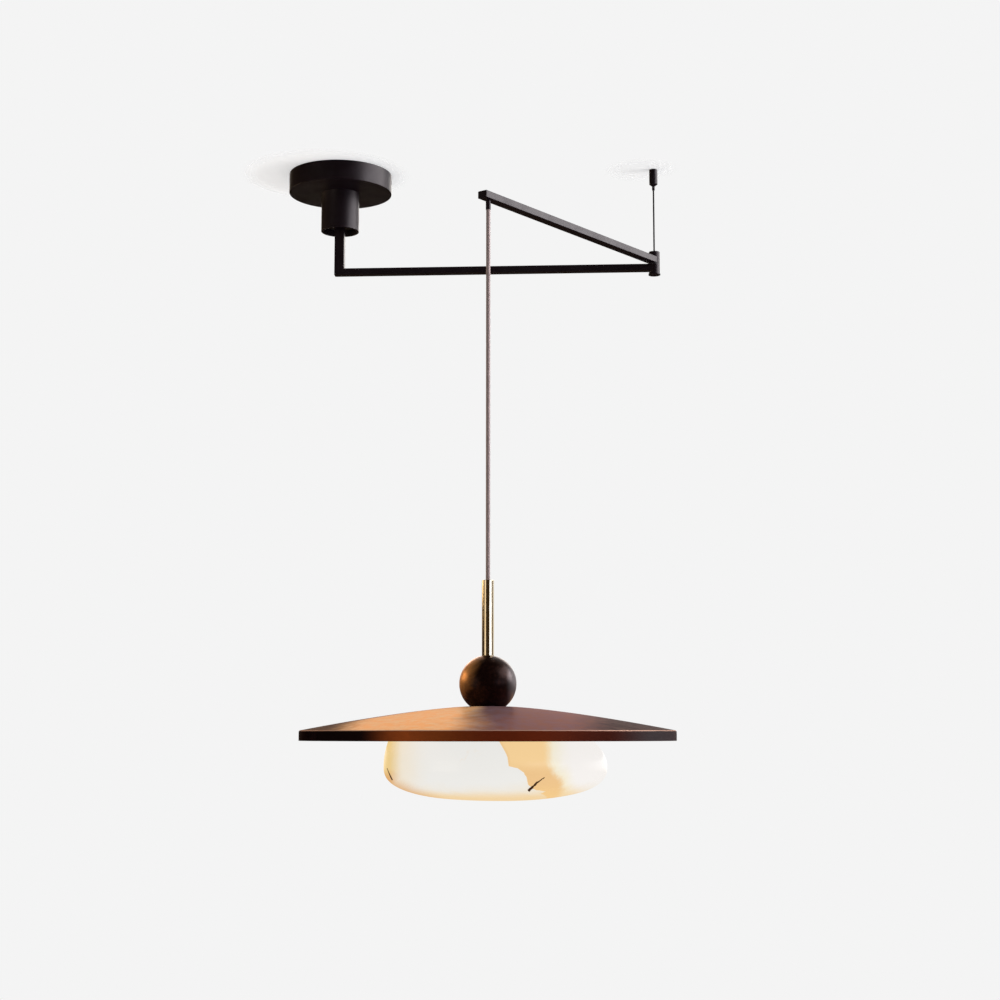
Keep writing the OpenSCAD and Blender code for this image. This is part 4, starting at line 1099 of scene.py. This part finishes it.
stoneSize = {
    "halfWidth": 119.2 * mm,
    "halfDepth": 116 * mm,
    "skew": 2 * mm,
    "offset": 8 * mm,
    "low": 35.5 * mm,  # below the widest level
    "top": 29.2 * mm,  # above it
    "topAngle": 40.0,  # where the dome above that level ends, in degrees
    "leftHeight": 95 * mm,
    "rightHeight": 57 * mm,
    "power": 2.5,
    "wobble": 0.5 * mm,
    "wobbleScale": 22,
    "turns": 160,
    "floor": 12 * mm,
    "mouth": 100.4 * mm,
    "cavity": [(94 * mm, 22 * mm), (88 * mm, 9 * mm), (75 * mm, 2 * mm), (58 * mm, 0), (0, 0)],
}


def stone():
    # A spun unit dome, each point of which is then moved to the stone's own outline
    size = stoneSize
    top, bottom = topOf("diffuser"), bottomOf("diffuser")
    middle, topAngle = bottom + size["low"], size["topAngle"]
    angles = [-86 + 4 * i for i in range(22)] + [4, 10, 16, 22, 28, 34, topAngle]
    outline = [(0, -1, 0)] + [(cos(radians(a)), sin(radians(a)), 0) for a in angles]
    bm = turned(outline, Vector((0, 0, 0)), size["turns"], closed=False)
    turn = radians(stoneLook["turn"])
    meanHeight = (size["leftHeight"] + size["rightHeight"]) / 2
    tilt = (size["leftHeight"] - size["rightHeight"]) / 2
    for vert in bm.verts:
        x, y, z = vert.co
        around, upward = atan2(y, x), asin(max(-1.0, min(1.0, z)))
        if upward > 0:
            rise = size["top"] * upward / radians(topAngle)
            share = sqrt(1 - (rise / (meanHeight - tilt * cos(around))) ** 2)
        else:
            rise = -size["low"] * sin(-upward) ** (2 / size["power"])
            share = abs(cos(upward)) ** (2 / size["power"]) if upward > -pi / 2 + 1e-4 else 0.0
        spot = Vector((share * size["halfWidth"] * cos(around),
                       share * (size["halfDepth"] * sin(around) + size["skew"] * cos(2 * around)), rise))
        bump = noise.noise(spot * size["wobbleScale"]) * size["wobble"] - size["wobble"]
        if upward < radians(topAngle - 1) and spot.length > 1 * mm:
            spot += spot.normalized() * min(bump, 0)
        vert.co = (lampAxis.x + size["offset"] * cos(turn) + spot.x * cos(turn) - spot.y * sin(turn),
                   lampAxis.y + size["offset"] * sin(turn) + spot.x * sin(turn) + spot.y * cos(turn),
                   middle + spot.z)
    # The mouth and cavity, spun and bridged to the outside's top edge
    outer = [e for e in bm.edges if e.is_boundary]
    seat, floor = bottomOf("carrier_ring"), bottom + size["floor"]
    inside = [(size["mouth"], top), (size["mouth"], seat), (size["cavity"][0][0], seat)]
    inside += [(radius, floor + height) for radius, height in size["cavity"]]
    known = set(bm.edges)
    chain = [bm.verts.new((lampAxis.x + radius, lampAxis.y, height)) for radius, height in inside]
    links = [bm.edges.new(pair) for pair in zip(chain, chain[1:])]
    spinAll(bm, chain + links, lampAxis, size["turns"])
    inner = [e for e in bm.edges if e.is_boundary and e not in known]
    bmesh.ops.bridge_loops(bm, edges=outer + inner)
    finishPiece(bm, "stone", "diffuser")


stone()
print("stone made")


# The CAD nodes that stay get the same finishes
for node, thing in frame["nodes"].items():
    thing.data.materials.clear()
    thing.data.materials.append(finishes[slotOf[node]])


stageLook = {
    "matte": 0.8,
    "ceilingGlow": (0.408, 0.378),  # at the canopy and at the wire, for the same white
    "ceilingTint": (0.975, 1.0, 1.03),
    "ceilingHeight": 0.4 * mm,
    "ceilingKept": [((shoulderAxis.x - 0.02, shoulderAxis.y, 0), 0.08, 0.112),
                    ((elbowAxis.x - 0.016, elbowAxis.y, 0), 0.02, 0.05)],
    "floorGlow": 0.89,
    "floorSeen": 0.03,  # how pale the lamps find the floor, to the camera
    "floorHeight": -2.3,
    "half": 4.0,
}


def matteShader(tree, grey):
    return newNode(tree, "BsdfDiffuse", {"Color": (grey, grey, grey, 1)}).outputs[0]


def joinShaders(tree, kind, *parts):
    return newNode(tree, kind, enumerate(parts)).outputs[0]


def stageMaterial(name, glow, seen, keepNear=()):
    # Matte with a glow that brings it to the background's white. Gloss sees the world instead.
    # With spots to keep near, it shows only round these, and its glow is a pair
    look = stageLook
    material = bpy.data.materials.new(name)
    material.use_nodes = True
    tree = material.node_tree
    tree.nodes.clear()
    shine = newNode(tree, "Emission")
    if keepNear:
        shine.inputs["Color"].default_value = (*look["ceilingTint"], 1)
        glow = rangeOf(tree, partsOf(tree, objectPoint(tree))[0], shoulderAxis.x, elbowAxis.x, *glow)
    place(tree, shine.inputs["Strength"], glow)
    both = joinShaders(tree, "AddShader", matteShader(tree, seen), shine.outputs[0])
    rays = newNode(tree, "LightPath")
    lit = joinShaders(tree, "MixShader", rays.outputs["Is Camera Ray"],
                      matteShader(tree, look["matte"]), both)
    hidden = larger(tree, rays.outputs["Is Glossy Ray"], rays.outputs["Is Transmission Ray"])
    if keepNear:
        hidden = larger(tree, hidden, newNode(tree, "NewGeometry").outputs["Backfacing"])
        kept = 0.0
        for spot, near, far in keepNear:
            away = newNode(tree, "VectorMath", {0: objectPoint(tree, centre=spot)})
            away.operation = "LENGTH"
            kept = larger(tree, kept, rangeOf(tree, away.outputs["Value"], near, far, 1, 0))
        hidden = larger(tree, hidden, minus(tree, 1.0, kept))
    clear = newNode(tree, "BsdfTransparent").outputs[0]
    newNode(tree, "OutputMaterial", {"Surface": joinShaders(tree, "MixShader", hidden, lit, clear)})
    return material


def stagePlane(name, height, material, facingDown=False):
    bm = bmesh.new()
    bmesh.ops.create_grid(bm, x_segments=1, y_segments=1, size=stageLook["half"])
    bmesh.ops.translate(bm, vec=(lampAxis.x, lampAxis.y, height), verts=bm.verts)
    if facingDown:
        bmesh.ops.reverse_faces(bm, faces=bm.faces)
    mesh = bpy.data.meshes.new(name)
    bm.to_mesh(mesh)
    bm.free()
    plane = bpy.data.objects.new(name, mesh)
    bpy.context.collection.objects.link(plane)
    mesh.materials.append(material)


stagePlane("floor", stageLook["floorHeight"],
           stageMaterial("floorFinish", stageLook["floorGlow"], stageLook["floorSeen"]))
stagePlane("ceiling", stageLook["ceilingHeight"],
           stageMaterial("ceilingFinish", stageLook["ceilingGlow"], stageLook["matte"],
                         stageLook["ceilingKept"]), facingDown=True)

lights = {  # at, aimed at, size, power, colour
    "rightHigh": ((2.35, 0.0, 0.85), (0, 0, -0.1), (2.8, 1.2), 47, (1.0, 0.985, 0.98)),
    "rightBelow": ((3.4, -0.5, -2.1), (0.1, 0, -0.1), (1.6, 1.2), 52, (1.0, 0.99, 0.985)),
    "rightSide": ((1.80, 0.10, -0.10), (0.21, -0.28, -0.62), (0.9, 0.5), 7.0, (1.0, 0.97, 0.97)),
    "rightLow": ((1.54, -1.17, -0.50), (0.21, -0.28, -0.58), (1.25, 0.24), 1.9, (0.88, 0.97, 1.20)),
    "leftWarm": ((-1.00, -1.32, -0.52), (0.21, -0.28, -0.62), (0.80, 1.0), 2.5, (1.0, 0.86, 0.68)),
    "leftBehind": ((-0.89, 0.17, -0.31), (0.21, -0.28, -0.66), (0.84, 0.33), 1.9, (1.0, 0.74, 0.44)),
    "behindHigh": ((0.1, 2.3, 0.30), (0.21, -0.28, -0.69), (2.0, 0.9), 17, (1.0, 0.93, 0.86)),
}
noGloss = ["rightBelow"]  # lamps that gloss doesn't show


def addLight(name, at, aim, size, power, colour):
    data = bpy.data.lights.new(name, "AREA")
    data.shape = "RECTANGLE"
    data.size, data.size_y = size
    data.energy = power
    data.color = colour
    light = bpy.data.objects.new(name, data)
    light.location = at
    light.rotation_euler = (Vector(aim) - Vector(at)).to_track_quat("-Z", "Y").to_euler()
    light.visible_camera = False
    light.visible_glossy = name not in noGloss
    bpy.context.collection.objects.link(light)


for name, look in lights.items():
    addLight(name, *look)

skyLook = {
    "white": 0.905,  # what the camera sees
    "behind": 0.70,  # what gloss sees behind the lamp
    "behindFrom": (0.05, 0.65),
    "aboveFrom": (-0.12, 0.03),
    "rightOf": (-0.75, -0.30),
    "dim": 0.035,  # what gloss sees elsewhere
    "dimTint": (1.0, 0.62, 0.27),
    "fill": 0.36,  # the light of the room
}


def addSky():
    # White to the camera. To gloss it is pale behind the lamp, and dim in front and below
    look = skyLook
    world = bpy.data.worlds.new("studio")
    world.use_nodes = True
    bpy.context.scene.world = world
    tree = world.node_tree
    background = tree.nodes["Background"]
    x, y, z = partsOf(tree, newNode(tree, "TexCoord").outputs["Generated"])
    behind = times(tree, rangeOf(tree, y, *look["behindFrom"]), rangeOf(tree, z, *look["aboveFrom"]))
    behind = times(tree, behind, rangeOf(tree, x, *look["rightOf"]))
    rays = newNode(tree, "LightPath")
    glossy = larger(tree, rays.outputs["Is Glossy Ray"], rays.outputs["Is Transmission Ray"])
    gloss = rangeOf(tree, behind, 0, 1, look["dim"], look["behind"])
    strength = plus(tree, times(tree, glossy, minus(tree, gloss, look["fill"])), look["fill"])
    seen = times(tree, rays.outputs["Is Camera Ray"], look["white"] - look["fill"])
    tree.links.new(plus(tree, strength, seen), background.inputs["Strength"])
    ahead = times(tree, glossy, minus(tree, 1.0, behind))
    tree.links.new(mixOf(tree, ahead, (1, 1, 1), look["dimTint"]), background.inputs["Color"])


addSky()
bpy.context.scene.view_settings.view_transform = "Standard"
print("stage and lights set")
